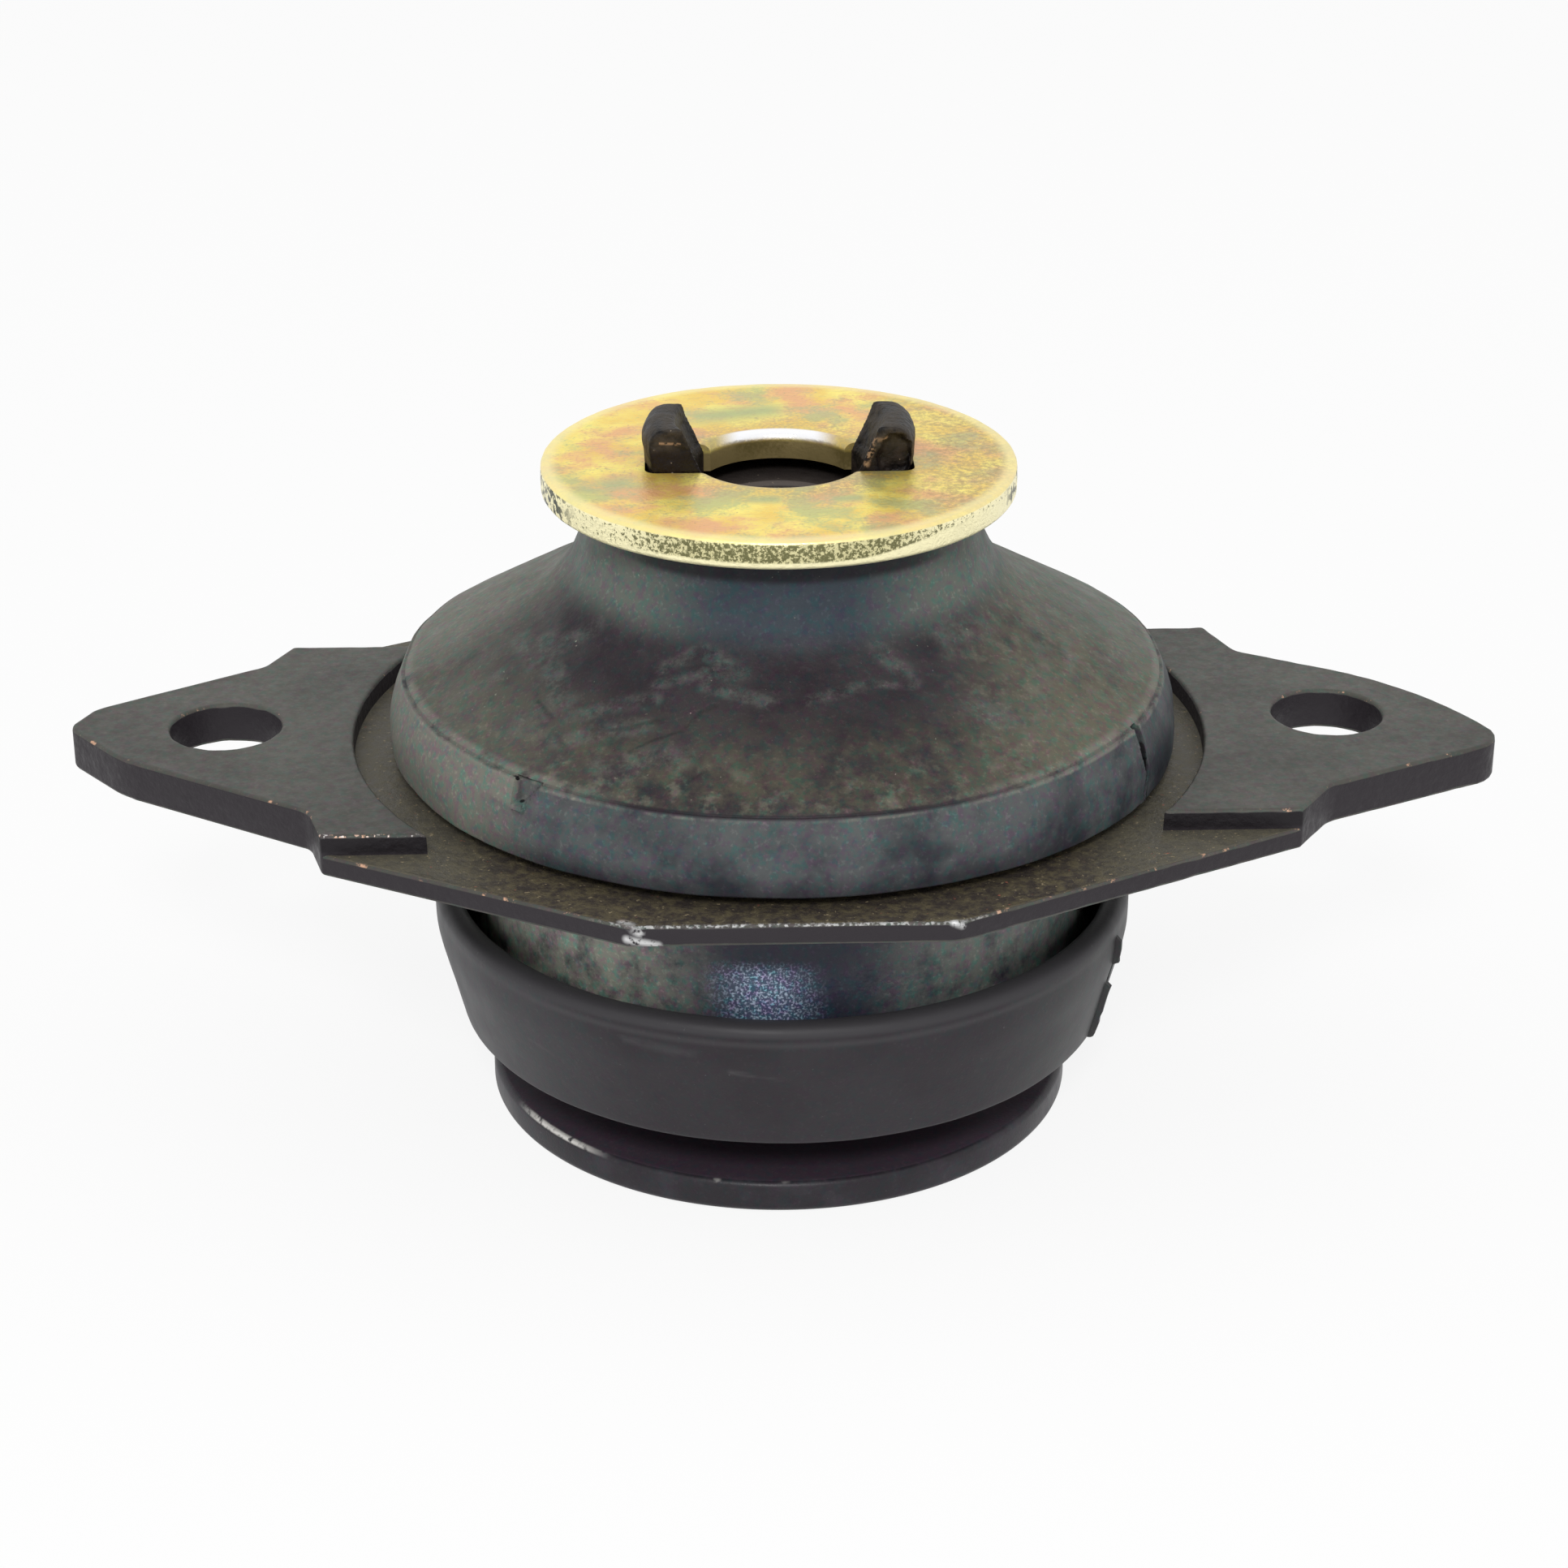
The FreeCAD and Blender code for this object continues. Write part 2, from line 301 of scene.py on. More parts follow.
def disc_coat():
    """Thin black coat, dusty in patches, rubbed to steel in spots on the top edge; painted
    light on the top faces and a painted highlight on the top edge at the left front.
    """
    coat = Finish("disc_coat")
    patches = coat.grain(7.0, detail=5.0, rough=0.6)
    dust = coat.grain(0.6, detail=2.0, shift=3.0)
    coat.colour = coat.blend(
        coat.step(patches, 0.42, 0.66), (0.020, 0.017, 0.021), (0.034, 0.030, 0.037)
    )
    # Painted light: the top faces are lighter, lifting the shade under the cup.
    coat.coat(coat.step(coat.facing, 0.90, 0.98), (0.050, 0.036, 0.048))
    coat.speckle(0.5)
    coat.coat(coat.step(dust, 0.74, 0.80), (0.10, 0.098, 0.095))
    # Painted highlight: the band of the top edge at the left front; the grain patches are rubbed
    # steel.
    edge = coat.both(coat.step(coat.facing, 0.25, 0.55), coat.step(coat.facing, 0.98, 0.85))
    left = coat.band(coat.turn(), math.radians(-150), math.radians(-131), 0.10)
    worn = coat.both(
        coat.step(coat.grain(3.0), 0.62, 0.74), coat.step(coat.part("X"), 0.030, 0.010)
    )
    wear_and_highlight = coat.both(edge, coat.either(left, coat.calc("MULTIPLY", worn, 0.4)))
    wear_and_highlight = coat.both(wear_and_highlight, coat.step(coat.grain(0.8, shift=8.0), 0.30, 0.52))
    coat.coat(wear_and_highlight, (0.62, 0.60, 0.57))
    coat.raise_by(coat.grain(0.25, detail=2.0), 0.02)
    coat.raise_by(patches, 0.05)
    rough = coat.between(coat.step(patches, 0.3, 0.7), 0.30, 0.48)
    return coat.done(rough, metal=coat.calc("MULTIPLY", wear_and_highlight, 0.5), specular=0.25)


disc_section = divided(rounded([
    (spigot_radius, 0, 0),
    (disc_radius, 0, disc_edge_round),
    (disc_radius, disc_thickness, disc_edge_round),
    (spigot_radius, disc_thickness, 0),
]), 4.0)
disc = turned("foot_disc", disc_section, even_turns(disc_turns))
finished(disc, "bottom_disc", disc_coat())

# Rebound cup. The real one is a black rubber cup, moulded in two halves, that stands on
# the disc with its wall round the sleeve. Thin flash is left on its seam and lower edge.

rubber_offset = 0.4
core_radius = 14.5
cup_neck_radius = 22.0
cup_neck_round = 1.5
cup_underside = 10.2
cup_base_radius = 35.4
cup_base_round = 0.7
cup_floor_top = 14.2
cup_floor_round = 1.5
cup_straight_height = 20.8
cup_side_round = 12.0
cup_rim_radius = 38.1
cup_rim_height = 25.3
cup_rim_round = 1.25
cup_inner_radius = 35.3
cup_turns = 300
cup_waves = ((0.10, 9.0), (0.03, 2.0))
wall_depth = 0.9
flash_height = 0.6
seam_turn = math.radians(-22)
seam_half_width = 0.3
seam_tear = (17.2, 19.6)
tear_half_width = 0.45
tear_depth = 0.35
base_flash = (math.radians(-172), math.radians(-114))
base_flash_rise = 0.15
base_flash_half = 0.3


def cup_wall_at(height):
    """Outer radius of the tapering wall."""
    rise = (height - cup_underside) / (cup_straight_height - cup_underside)
    return cup_base_radius + (cup_rim_radius - cup_base_radius) * min(rise, 1)


def away_from(turn, middle):
    """Signed angle from one direction to another."""
    return (turn - middle + math.pi) % FULL_TURN - math.pi


def waves(place, layers):
    """Sum of smooth noise in mm, each layer a depth and the size of its waves."""
    return sum(depth * noise.noise(place / size) for depth, size in layers)


def pushed(place, push):
    """A place moved outwards from the Z axis."""
    radius = math.hypot(place.x, place.y)
    spread = (radius + push) / radius
    return Vector((place.x * spread, place.y * spread, place.z))


def cup_wear(place, turn):
    """Moulding waves all over, the seam's fin with its tear, and the lip of flash."""
    radius = math.hypot(place.x, place.y)
    if radius < core_radius + 0.01:
        return place
    push = waves(place, cup_waves)
    if radius > cup_wall_at(place.z) - wall_depth and place.z > cup_underside:
        across = abs(away_from(turn, seam_turn)) * radius
        torn = seam_tear[0] < place.z < seam_tear[1]
        below_rim = place.z < cup_rim_height - 2 * cup_rim_round
        if across < seam_half_width and not torn and below_rim:
            push += flash_height + 0.12 * noise.noise(Vector((0, 0, place.z * 1.7)))
        elif across < tear_half_width and torn:
            push -= tear_depth
        lip = place.z - cup_underside - cup_base_round - base_flash_rise
        if abs(lip) < base_flash_half and base_flash[0] < turn - FULL_TURN < base_flash[1]:
            push += flash_height * (0.75 + 0.5 * noise.noise(Vector((turn * 9, 0, 4))))
    return pushed(place, push)


def close_turns(count, *crowds):
    """Even angles, with more of them around each (middle, half width, step)."""
    turns = set(even_turns(count))
    for middle, half, step in crowds:
        turns = {turn for turn in turns if abs(away_from(turn, middle)) > half}
        steps = round(2 * half / step)
        turns |= {(middle - half + 2 * half * k / steps) % FULL_TURN for k in range(steps + 1)}
    return sorted(turns)


def cup_rubber():
    """Smooth black moulded rubber with scuffs, painted side light at the left and right, and
    painted light on the rim's top and on a line below it.
    """
    rubber = Finish("cup_rubber")
    cloud = rubber.grain(14.0, detail=4.0, rough=0.55)
    fine = rubber.grain(0.5, detail=2.0, shift=5.0)
    rubber.colour = rubber.blend(
        rubber.step(cloud, 0.35, 0.65), (0.022, 0.018, 0.022), (0.030, 0.027, 0.031)
    )
    # Painted side light: the left and right of the cup are lighter.
    left = rubber.step(rubber.part("X"), -0.014, -0.034)
    rubber.coat(left, (0.060, 0.059, 0.062), 0.75)
    right = rubber.step(rubber.part("X"), 0.018, 0.034)
    rubber.coat(right, (0.060, 0.062, 0.060), 0.6)
    rubber.speckle(0.35)
    height = rubber.part("Z")
    # Painted light: the rim's top and a line just below it are lighter.
    crown = rubber.step(height, 0.0238, 0.0244)
    rubber.coat(crown, (0.042, 0.040, 0.044))
    rim_light_line = rubber.band(height, 0.0230, 0.0236, 0.0003)
    rubber.coat(rim_light_line, (0.075, 0.073, 0.076), 0.3)
    scuffs = rubber.streaks(
        ((-31.0, -18.5, 14.3), (-26.0, -25.8, 13.4), 1.6),
        ((-27.0, -25.5, 17.5), (-24.0, -28.5, 16.8), 1.0),
        ((-16.5, -33.8, 22.5), (-9.0, -36.4, 21.4), 2.2),
        ((-6.0, -37.3, 20.0), (-1.0, -37.5, 19.4), 1.2),
        ((9.0, -36.5, 20.6), (10.2, -36.2, 21.0), 0.8),
    )
    scuffs = rubber.both(scuffs, rubber.step(rubber.grain(1.6, stretch=(3, 3, 1)), 0.40, 0.62))
    rubber.coat(scuffs, (0.085, 0.083, 0.086), 0.5)
    rubber.coat(rubber.step(fine, 0.72, 0.80), (0.07, 0.068, 0.07))
    rubber.raise_by(rubber.grain(0.3, detail=2.0), 0.012)
    rubber.raise_by(rubber.grain(2.5, detail=3.0), 0.03)
    rough = rubber.between(rubber.step(cloud, 0.3, 0.7), 0.42, 0.56)
    return rubber.done(rough, specular=0.22)


cup_section = rounded([
    (core_radius, disc_thickness, 0),
    (cup_neck_radius, disc_thickness, 0),
    (cup_neck_radius, cup_underside, cup_neck_round),
    (cup_base_radius, cup_underside, cup_base_round),
    (cup_rim_radius, cup_straight_height, cup_side_round),
    (cup_rim_radius, cup_rim_height, cup_rim_round),
    (cup_inner_radius, cup_rim_height, cup_rim_round),
    (cup_inner_radius, cup_floor_top, cup_floor_round),
    (core_radius, cup_floor_top, 0),
])
turns = close_turns(cup_turns, (seam_turn, 0.02, 0.002))
cup = turned("rubber_cup", divided(cup_section, 0.7), turns, rubber_offset, cup_wear)
finished(cup, "rebound_cup", cup_rubber())

# Core. The real one is a turned steel post with a through bore. Its two lugs come up
# through the washer and are spread over it. The right one is torn hollow in front.

bore_radius = 6.25
bore_chamfer = 0.6
core_height = 67.2
lug_outer_radius = 13.8
lug_inner_radius = 8.9
lug_width = 8.7
lug_root_depth = 2.0
lug_straight_height = 4.4
lug_lean_height = 5.4
lug_inner_lean = 2.0
lug_outer_lean = 0.5
lug_outer_round = 1.9
lug_inner_round = 0.5
lug_slices = 16
lug_skin = 0.17
lug_dents = ((0.16, 2.0), (0.07, 0.7))
hollow_middle = Vector((11.9, -lug_width / 2, core_height + 6.4))
hollow_reach = (1.9, 1.5, 2.7)
hollow_depth = 1.3
core_turns = 160


def lug(side):
    """One forged lug as a mesh in mm, worn round, at the left (-1) or the right (1)."""
    bend = core_height + lug_straight_height
    top = bend + lug_lean_height
    section = divided(rounded([
        (lug_inner_radius, core_height - lug_root_depth, 0),
        (lug_outer_radius, core_height - lug_root_depth, 0),
        (lug_outer_radius, bend, 0),
        (lug_outer_radius + lug_outer_lean, top, lug_outer_round),
        (lug_inner_radius + lug_inner_lean, top, lug_inner_round),
        (lug_inner_radius, bend, 0),
    ]), 1.0)
    rows = len(section)
    points = []
    for cut in range(lug_slices + 1):
        y = lug_width * (cut / lug_slices - 0.5)
        points += [(side * math.sqrt(radius ** 2 - y ** 2), y, z) for radius, z in section]
    faces = [tuple(range(rows)), tuple(range(lug_slices * rows, (lug_slices + 1) * rows))]
    for cut in range(lug_slices):
        for row in range(rows):
            a = cut * rows + row
            b = cut * rows + (row + 1) % rows
            faces.append((a, b, b + rows, a + rows))
    piece = solid("lug", points, faces)
    remesh = piece.modifiers.new("skin", "REMESH")
    remesh.mode = "VOXEL"
    remesh.voxel_size = lug_skin
    soften = piece.modifiers.new("soften", "SMOOTH")
    soften.factor = 0.5
    soften.iterations = 4
    worn = plain(piece)
    for vertex in worn.data.vertices:
        vertex.co = lug_wear(vertex.co.copy(), side)
    return worn


def plain(piece):
    """A copy of a piece as a plain mesh, its modifiers applied, in place of the piece."""
    graph = bpy.context.evaluated_depsgraph_get()
    name = piece.name
    mesh = bpy.data.meshes.new_from_object(piece.evaluated_get(graph))
    bpy.data.objects.remove(piece)
    return linked(name, mesh)


def solid(name, points, faces):
    """Mesh object of a closed solid in mm, its faces turned outwards."""
    mesh = bpy.data.meshes.new(name)
    mesh.from_pydata(points, [], faces)
    face_out(mesh)
    return linked(name, mesh)


def prism(name, outline, low, high):
    """Solid of a plan outline between two heights."""
    count = len(outline)
    points = [(point.x, point.y, height) for height in (low, high) for point in outline]
    faces = [tuple(range(count)), tuple(range(count, 2 * count))]
    for here in range(count):
        ahead = (here + 1) % count
        faces.append((here, ahead, ahead + count, here + count))
    return solid(name, points, faces)


def joined_by(operation, piece, tools):
    """The piece united with some solids or less them, as a plain mesh; uses the tools up."""
    for tool in tools:
        step = piece.modifiers.new("step", "BOOLEAN")
        step.operation = operation
        step.object = tool
    result = plain(piece)
    for tool in tools:
        bpy.data.objects.remove(tool)
    return result


def lug_wear(place, side):
    """Dents and forging marks, and the torn hollow in the right lug's front."""
    dent = waves(place, lug_dents)
    outwards = Vector((place.x, place.y, 0)).normalized()
    if place.z > core_height + lug_straight_height + 0.9:
        place += outwards * (dent + 0.1)
        place.y += dent * 0.8
    if side > 0 and place.y < 0:
        gap = place - hollow_middle
        ragged = 0.35 * noise.noise(place / 0.9)
        wide, deep, tall = hollow_reach
        near = 1 - (gap.x / wide) ** 2 - (gap.z / tall) ** 2 - (gap.y / deep) ** 2 + ragged
        if near > 0:
            place.y += hollow_depth * min(1, near * 2.2)
    return place


def core_steel():
    """Dark oxide on steel, browner on the lugs' crowns, with tan scrapes and bare glints."""
    steel = Finish("core_steel")
    patches = steel.grain(2.0, detail=5.0, rough=0.65)
    fine = steel.grain(0.35, detail=3.0, shift=7.0)
    steel.colour = steel.blend(
        steel.step(patches, 0.38, 0.62), (0.005, 0.004, 0.004), (0.026, 0.018, 0.014)
    )
    height = steel.part("Z")
    crown = steel.both(steel.step(height, 0.0738, 0.0752), steel.step(patches, 0.34, 0.62))
    steel.coat(crown, (0.050, 0.042, 0.032), 0.7)
    front = steel.step(steel.part("Y"), -0.0036, -0.0041)
    foot = steel.both(front, steel.step(height, 0.0752, 0.0740))
    steel.coat(foot, (0.004, 0.002, 0.003), 0.9)
    face = steel.band(height, 0.0668, 0.0676, 0.0002)
    inner = steel.both(face, steel.step(steel.reach(), 0.0074, 0.0070))
    steel.coat(face, (0.040, 0.033, 0.030))
    steel.coat(inner, (0.110, 0.094, 0.086))
    bore = steel.step(steel.reach(), 0.0066, 0.0063)
    steel.coat(bore, (0.012, 0.010, 0.010))
    tan = steel.streaks(
        ((9.4, -4.2, 76.2), (9.3, -4.3, 74.6), 1.5),
        ((9.4, -4.3, 74.6), (8.9, -4.3, 73.0), 1.1),
        ((9.6, -4.2, 75.6), (12.4, -4.2, 75.9), 0.9),
        ((-12.4, -4.4, 75.5), (-10.4, -4.4, 75.4), 0.5),
    )
    tan = steel.both(tan, steel.step(fine, 0.42, 0.58))
    steel.coat(tan, (0.28, 0.18, 0.11))
    glints = steel.both(steel.step(fine, 0.68, 0.74), steel.step(patches, 0.50, 0.64))
    steel.coat(glints, (0.42, 0.34, 0.26))
    steel.raise_by(patches, 0.30)
    steel.raise_by(fine, 0.06)
    rough = steel.between(steel.step(patches, 0.3, 0.7), 0.38, 0.60)
    return steel.done(rough, metal=0.0, specular=0.16)


core_section = [
    (bore_radius, 0, 0),
    (spigot_radius, 0, 0),
    (spigot_radius, disc_thickness, 0),
    (core_radius, disc_thickness, 0),
    (core_radius, core_height, 0.2),
    (bore_radius + bore_chamfer, core_height, 0),
    (bore_radius, core_height - bore_chamfer, 0),
]
core = turned("core_post", divided(rounded(core_section), 6.0), even_turns(core_turns))
core.data.transform(Matrix.Scale(1 / MM, 4))
core = joined_by("UNION", core, [lug(-1), lug(1)])
core.data.transform(Matrix.Scale(MM, 4))
finished(core, "inner_core", core_steel(), 50)

# Flange plate. The real one is a thick steel plate, pierced and pressed down in the middle,
# coated dark, and bonded into the rubber. Its sheared edges are rubbed to bright steel.

plate_underside = 38.0
plate_top = 40.3
pad_top = 42.5
plate_opening_radius = 30.0
recess_radius = 45.7
bolt_x = 59.5
bolt_hole_radius = 6.0
edge_round = 0.38
edge_ragged = (0.45, 1.3)
face_waves = (0.05, 14)
edge_insets = [0.0, 0.03, 0.11, 0.22, 0.34, 0.5]
step_offsets = [-0.03, 0.0, 0.03, 0.11, 0.22, 0.34, 0.5]
plate_grid = 1.6
opening_turns = 180
hole_turns = 64
recess_turns = 260
plate_outline = [
    (-16.2, -44.5, 2.0), (16.2, -44.5, 2.0), (52.8, -24.55, 1.0), (56.6, -18.75, 4.0),
    (77.9, -7.9, 4.0), (70.0, 7.39, 35.0), (52.2, 17.69, 3.5), (49.6, 24.79, 1.0),
    (16.2, 43.0, 2.0), (-16.2, 43.0, 2.0), (-54.4, 22.17, 1.0), (-57.1, 16.57, 3.0),
    (-74.2, 5.3, 5.0), (-76.4, 0.3, 2.5), (-69.6, -8.3, 15.0), (-48.7, -21.95, 3.0),
    (-47.1, -27.65, 1.0),
]
pad_fronts = (27.65, 24.55)
pad_rears = (22.17, 24.79)


def circle(radius, steps, x=0.0):
    """Points in mm of a circle in plan."""
    return [Vector((x + radius * math.cos(a), radius * math.sin(a))) for a in even_turns(steps)]


def inset(outline, depth):
    """An anticlockwise outline moved inwards."""
    result = []
    for index, point in enumerate(outline):
        back = (point - outline[index - 1]).normalized()
        ahead = (outline[(index + 1) % len(outline)] - point).normalized()
        middle = (back + ahead).normalized()
        inwards = Vector((-middle.y, middle.x))
        result.append(point + inwards * depth / max(0.5, middle.dot(ahead)))
    return result


def depth_inside(points, outline):
    """How far in mm each point lies inside a closed outline, below zero outside it."""
    start = np.array(outline)[None]
    along = np.roll(start, -1, 1) - start
    gap = points[:, None] - start
    share = ((gap * along).sum(2) / (along ** 2).sum(2)).clip(0, 1)
    away = np.linalg.norm(gap - share[..., None] * along, axis=2).min(1)
    left_of = along[..., 0] * gap[..., 1] - along[..., 1] * gap[..., 0] > 0
    starts_below = gap[..., 1] >= 0
    ends_below = gap[..., 1] - along[..., 1] >= 0
    rising = (starts_below & ~ends_below & left_of).sum(1)
    falling = (~starts_below & ends_below & ~left_of).sum(1)
    return np.where(rising != falling, away, -away)


def plate_depths(points):
    """For each point of the plan, how far inside the steel and inside a pad it lies."""
    inside = depth_inside(points, rounded(plate_outline))
    reach = np.linalg.norm(points, axis=1)
    inside = np.minimum(inside, reach - plate_opening_radius)
    for x in (-bolt_x, bolt_x):
        inside = np.minimum(inside, np.linalg.norm(points - [x, 0], axis=1) - bolt_hole_radius)
    right = points[:, 0] > 0
    front = points[:, 1] + np.where(right, pad_fronts[1], pad_fronts[0])
    rear = np.where(right, pad_rears[1], pad_rears[0]) - points[:, 1]
    on_pad = np.minimum(np.minimum(front, rear), reach - recess_radius)
    return inside, on_pad


def edge_drop(depth, radius):
    """How far a rounded edge lies below its face."""
    over = np.clip(radius - depth, 0, radius)
    return radius - np.sqrt(radius ** 2 - over ** 2)


def plate_plan():
    """Points and triangles of the plate's plan, dense along every edge and step."""
    rings = []
    for depth in edge_insets:
        rings.append(inset(divided(rounded(plate_outline), 1.5), depth))
        rings.append(circle(plate_opening_radius + depth, opening_turns))
        rings += [circle(bolt_hole_radius + depth, hole_turns, x) for x in (-bolt_x, bolt_x)]
    for depth in step_offsets:
        rings.append(circle(recess_radius + depth, recess_turns))
    points = [point for ring in rings for point in ring]
    edges = []
    start = 0
    for ring in rings:
        count = len(ring)
        edges += [(start + k, start + (k + 1) % count) for k in range(count)]
        start += count
    for depth in step_offsets:
        for side, front, rear in zip((-1, 1), pad_fronts, pad_rears):
            for y in (-front + depth, rear - depth):
                row = [Vector((side * x, y)) for x in np.linspace(30, 60, 21)]
                edges += [(len(points) + k, len(points) + k + 1) for k in range(len(row) - 1)]
                points += row
    for x in np.arange(-78, 78, plate_grid):
        points += [Vector((x, y)) for y in np.arange(-44, 43, plate_grid)]
    places, _, faces = delaunay_2d_cdt(points, edges, [], 0, 1e-5)[:3]
    places = np.array(places)
    faces = np.array(faces)
    middles = places[faces].mean(1)
    faces = faces[plate_depths(middles)[0] > 0]
    used, faces = np.unique(faces, return_inverse=True)
    return places[used], faces.reshape(-1, 3)


def plate_mesh():
    """Closed mesh of the plate: its face and underside on one plan, joined by the edges."""
    plan, faces = plate_plan()
    inside, on_pad = plate_depths(plan)
    share, size = edge_ragged
    ragged = np.array([noise.noise(Vector((x, y, 0)) / size) for x, y in plan])
    radius = edge_round * (1 + share * ragged)
    depth, size = face_waves
    wave = np.array([noise.noise(Vector((x, y, 0)) / size) for x, y in plan])
    pad = np.where(on_pad > -0.015, pad_top - plate_top - edge_drop(on_pad, radius), 0)
    upper = plate_top + pad - edge_drop(inside, radius)
    upper -= depth * (1 + wave) * (inside > 0.6)
    lower = plate_underside + edge_drop(inside, radius)
    count = len(plan)
    points = [(x * MM, y * MM, z * MM) for (x, y), z in zip(plan, upper)]
    points += [(x * MM, y * MM, z * MM) for (x, y), z in zip(plan, lower)]
    edges = {}
    for a, b, c in faces.tolist():
        for edge in ((a, b), (b, c), (c, a)):
            if edge[::-1] in edges:
                del edges[edge[::-1]]
            else:
                edges[edge] = True
    walls = [(b, a, a + count, b + count) for a, b in edges]
    mesh = bpy.data.meshes.new("flange")
    turned_over = (faces[:, ::-1] + count).tolist()
    mesh.from_pydata(points, [], faces.tolist() + turned_over + walls)
    return mesh


def flange_paint():
    """Dark satin coat with olive dust in the pan, its sheared edges rubbed to steel."""
    paint = Finish("flange_paint")
    cloud = paint.grain(16.0, detail=5.0, rough=0.6)
    spots = paint.grain(1.1, detail=4.0, rough=0.65, shift=4.0)
    fine = paint.grain(0.45, detail=2.0, shift=9.0)
    height = paint.part("Z")
    level = paint.step(paint.facing, 0.80, 0.97)
    paint.colour = paint.blend(
        paint.step(cloud, 0.35, 0.65), (0.058, 0.056, 0.048), (0.082, 0.080, 0.068)
    )
    paint.speckle(0.5)
    pan = paint.both(level, paint.step(height, 0.0412, 0.0404))
    paint.coat(pan, (0.046, 0.038, 0.034))
    olive = paint.both(pan, paint.step(spots, 0.36, 0.68))
    paint.coat(olive, (0.105, 0.088, 0.052))
    side_pan = paint.both(pan, paint.step(paint.calc("ABSOLUTE", paint.part("X")), 0.026, 0.036))
    paint.coat(side_pan, (0.10, 0.095, 0.072), 0.6)
    paint.coat(paint.both(pan, paint.step(fine, 0.66, 0.74)), (0.26, 0.21, 0.13))
    red = paint.both(pan, paint.step(paint.grain(0.7, shift=12.0), 0.70, 0.78))
    paint.coat(red, (0.28, 0.10, 0.07))
    side = paint.step(paint.calc("ABSOLUTE", paint.facing), 0.35, 0.10)
    paint.coat(side, (0.024, 0.020, 0.024))
    step_wall = paint.both(
        side,
        paint.step(height, 0.0402, 0.0408),
        paint.band(paint.part("Y"), -0.0285, -0.0240, 0.0003),
    )
    paint.coat(step_wall, (0.008, 0.006, 0.008))
    edge = paint.band(paint.facing, 0.30, 0.92, 0.10)
    ragged = paint.grain(1.8, detail=4.0, rough=0.7, shift=2.0)
    front = paint.step(paint.part("Y"), -0.0420, -0.0438)
    left_step = paint.band(paint.part("Y"), -0.0284, -0.0264, 0.0003)
    left_step = paint.both(
        left_step, paint.step(height, 0.0416, 0.0420), paint.step(paint.part("X"), -0.036, -0.038)
    )
    bare = paint.either(
        paint.both(edge, paint.step(ragged, 0.60, 0.70)),
        paint.both(paint.calc("MULTIPLY", edge, 0.55), front, paint.step(fine, 0.46, 0.64)),
        paint.both(edge, left_step, paint.step(fine, 0.54, 0.64)),
    )
    scrape = paint.streaks(
        ((-16.6, -43.4, 40.3), (-15.0, -44.4, 39.6), 1.5),
        ((-16.2, -44.4, 38.9), (-13.2, -44.5, 38.2), 1.3),
        ((15.5, -44.4, 40.2), (16.3, -44.2, 39.8), 1.2),
    )
    scrape = paint.both(scrape, paint.step(fine, 0.30, 0.50))
    bare = paint.either(bare, scrape)
    metal = paint.blend(paint.step(ragged, 0.45, 0.62), (0.55, 0.53, 0.52), (0.60, 0.36, 0.24))
    metal = paint.blend(front, metal, (0.62, 0.62, 0.62))
    paint.coat(bare, metal)
    paint.raise_by(paint.both(pan, spots), 0.20)
    paint.raise_by(fine, 0.015)
    paint.raise_by(paint.both(side, paint.grain(0.8, detail=3.0)), 0.12)
    rough = paint.between(paint.step(spots, 0.3, 0.7), 0.42, 0.58)
    return paint.done(rough, metal=paint.calc("MULTIPLY", bare, 0.5), specular=0.25)


flange = linked("flange", plate_mesh())
finished(flange, "flange_plate", flange_paint(), 32)

# Rubber block. The real one is black rubber moulded round the core and over both faces of
# the plate: a sleeve under it, and over it a skirt, a crease, a cone and a neck. The skirt
# is split at the right, and a small flap is torn from the crease at the left.

block_inner_radius = 14.95
block_seat_radius = 29.5
sleeve_radius = 33.3
skirt_foot_radius = 38.0
skirt_radius = 42.0
skirt_lip_height = 41.8
crease_radius = 40.6
crease_height = 49.7
neck_radius = 20.9
neck_root_round = 11.0
cone_top_height = 60.9
neck_top = 69.3
slit_turn = math.radians(-29)
slit_width = 1.3
slit_least = 0.22
slit_depth = 2.0
slit_lips = 0.12
flap_turn = math.radians(-130.2)
flap_half_turn = math.radians(2.4)
flap_drop = 2.2
flap_depth = 0.8
flap_bulge = 0.4
block_turns = 300
block_waves = ((0.20, 7.0), (0.05, 1.8))


def block_wear(place, turn):
    """Moulding waves all over, the split in the skirt and the torn flap at the crease."""
    radius = math.hypot(place.x, place.y)
    if radius < neck_radius - 0.7:
        return place
    push = waves(place, block_waves)
    on_skirt = skirt_lip_height - 0.8 < place.z < crease_height + 0.05
    if on_skirt and radius > crease_radius - 0.8:
        rise = (place.z - skirt_lip_height) / (crease_height - skirt_lip_height)
        bend = 0.5 * noise.noise(Vector((0, 3, place.z / 2.0))) + 0.6 * (1 - rise)
        across = abs(away_from(turn, slit_turn) * radius + bend)
        ragged = 1 + 0.5 * noise.noise(Vector((0, 7, place.z)))
        half = slit_width / 2 * max(rise, slit_least) * ragged
        if across < half:
            push -= slit_depth
        elif across < half + 0.5:
            push += slit_lips
    off_flap = away_from(turn, flap_turn) / flap_half_turn
    if abs(off_flap) < 1 and radius > crease_radius - 0.3:
        rise = 1 - off_flap if off_flap > -0.5 else (off_flap + 1) * 3
        torn_from = crease_height - flap_drop * min(1, rise)
        if place.z > torn_from:
            push -= flap_depth * min(1, (place.z - torn_from) / 0.25)
        elif place.z > torn_from - 0.7:
            push += flap_bulge * min(1, rise)
    return pushed(place, push)


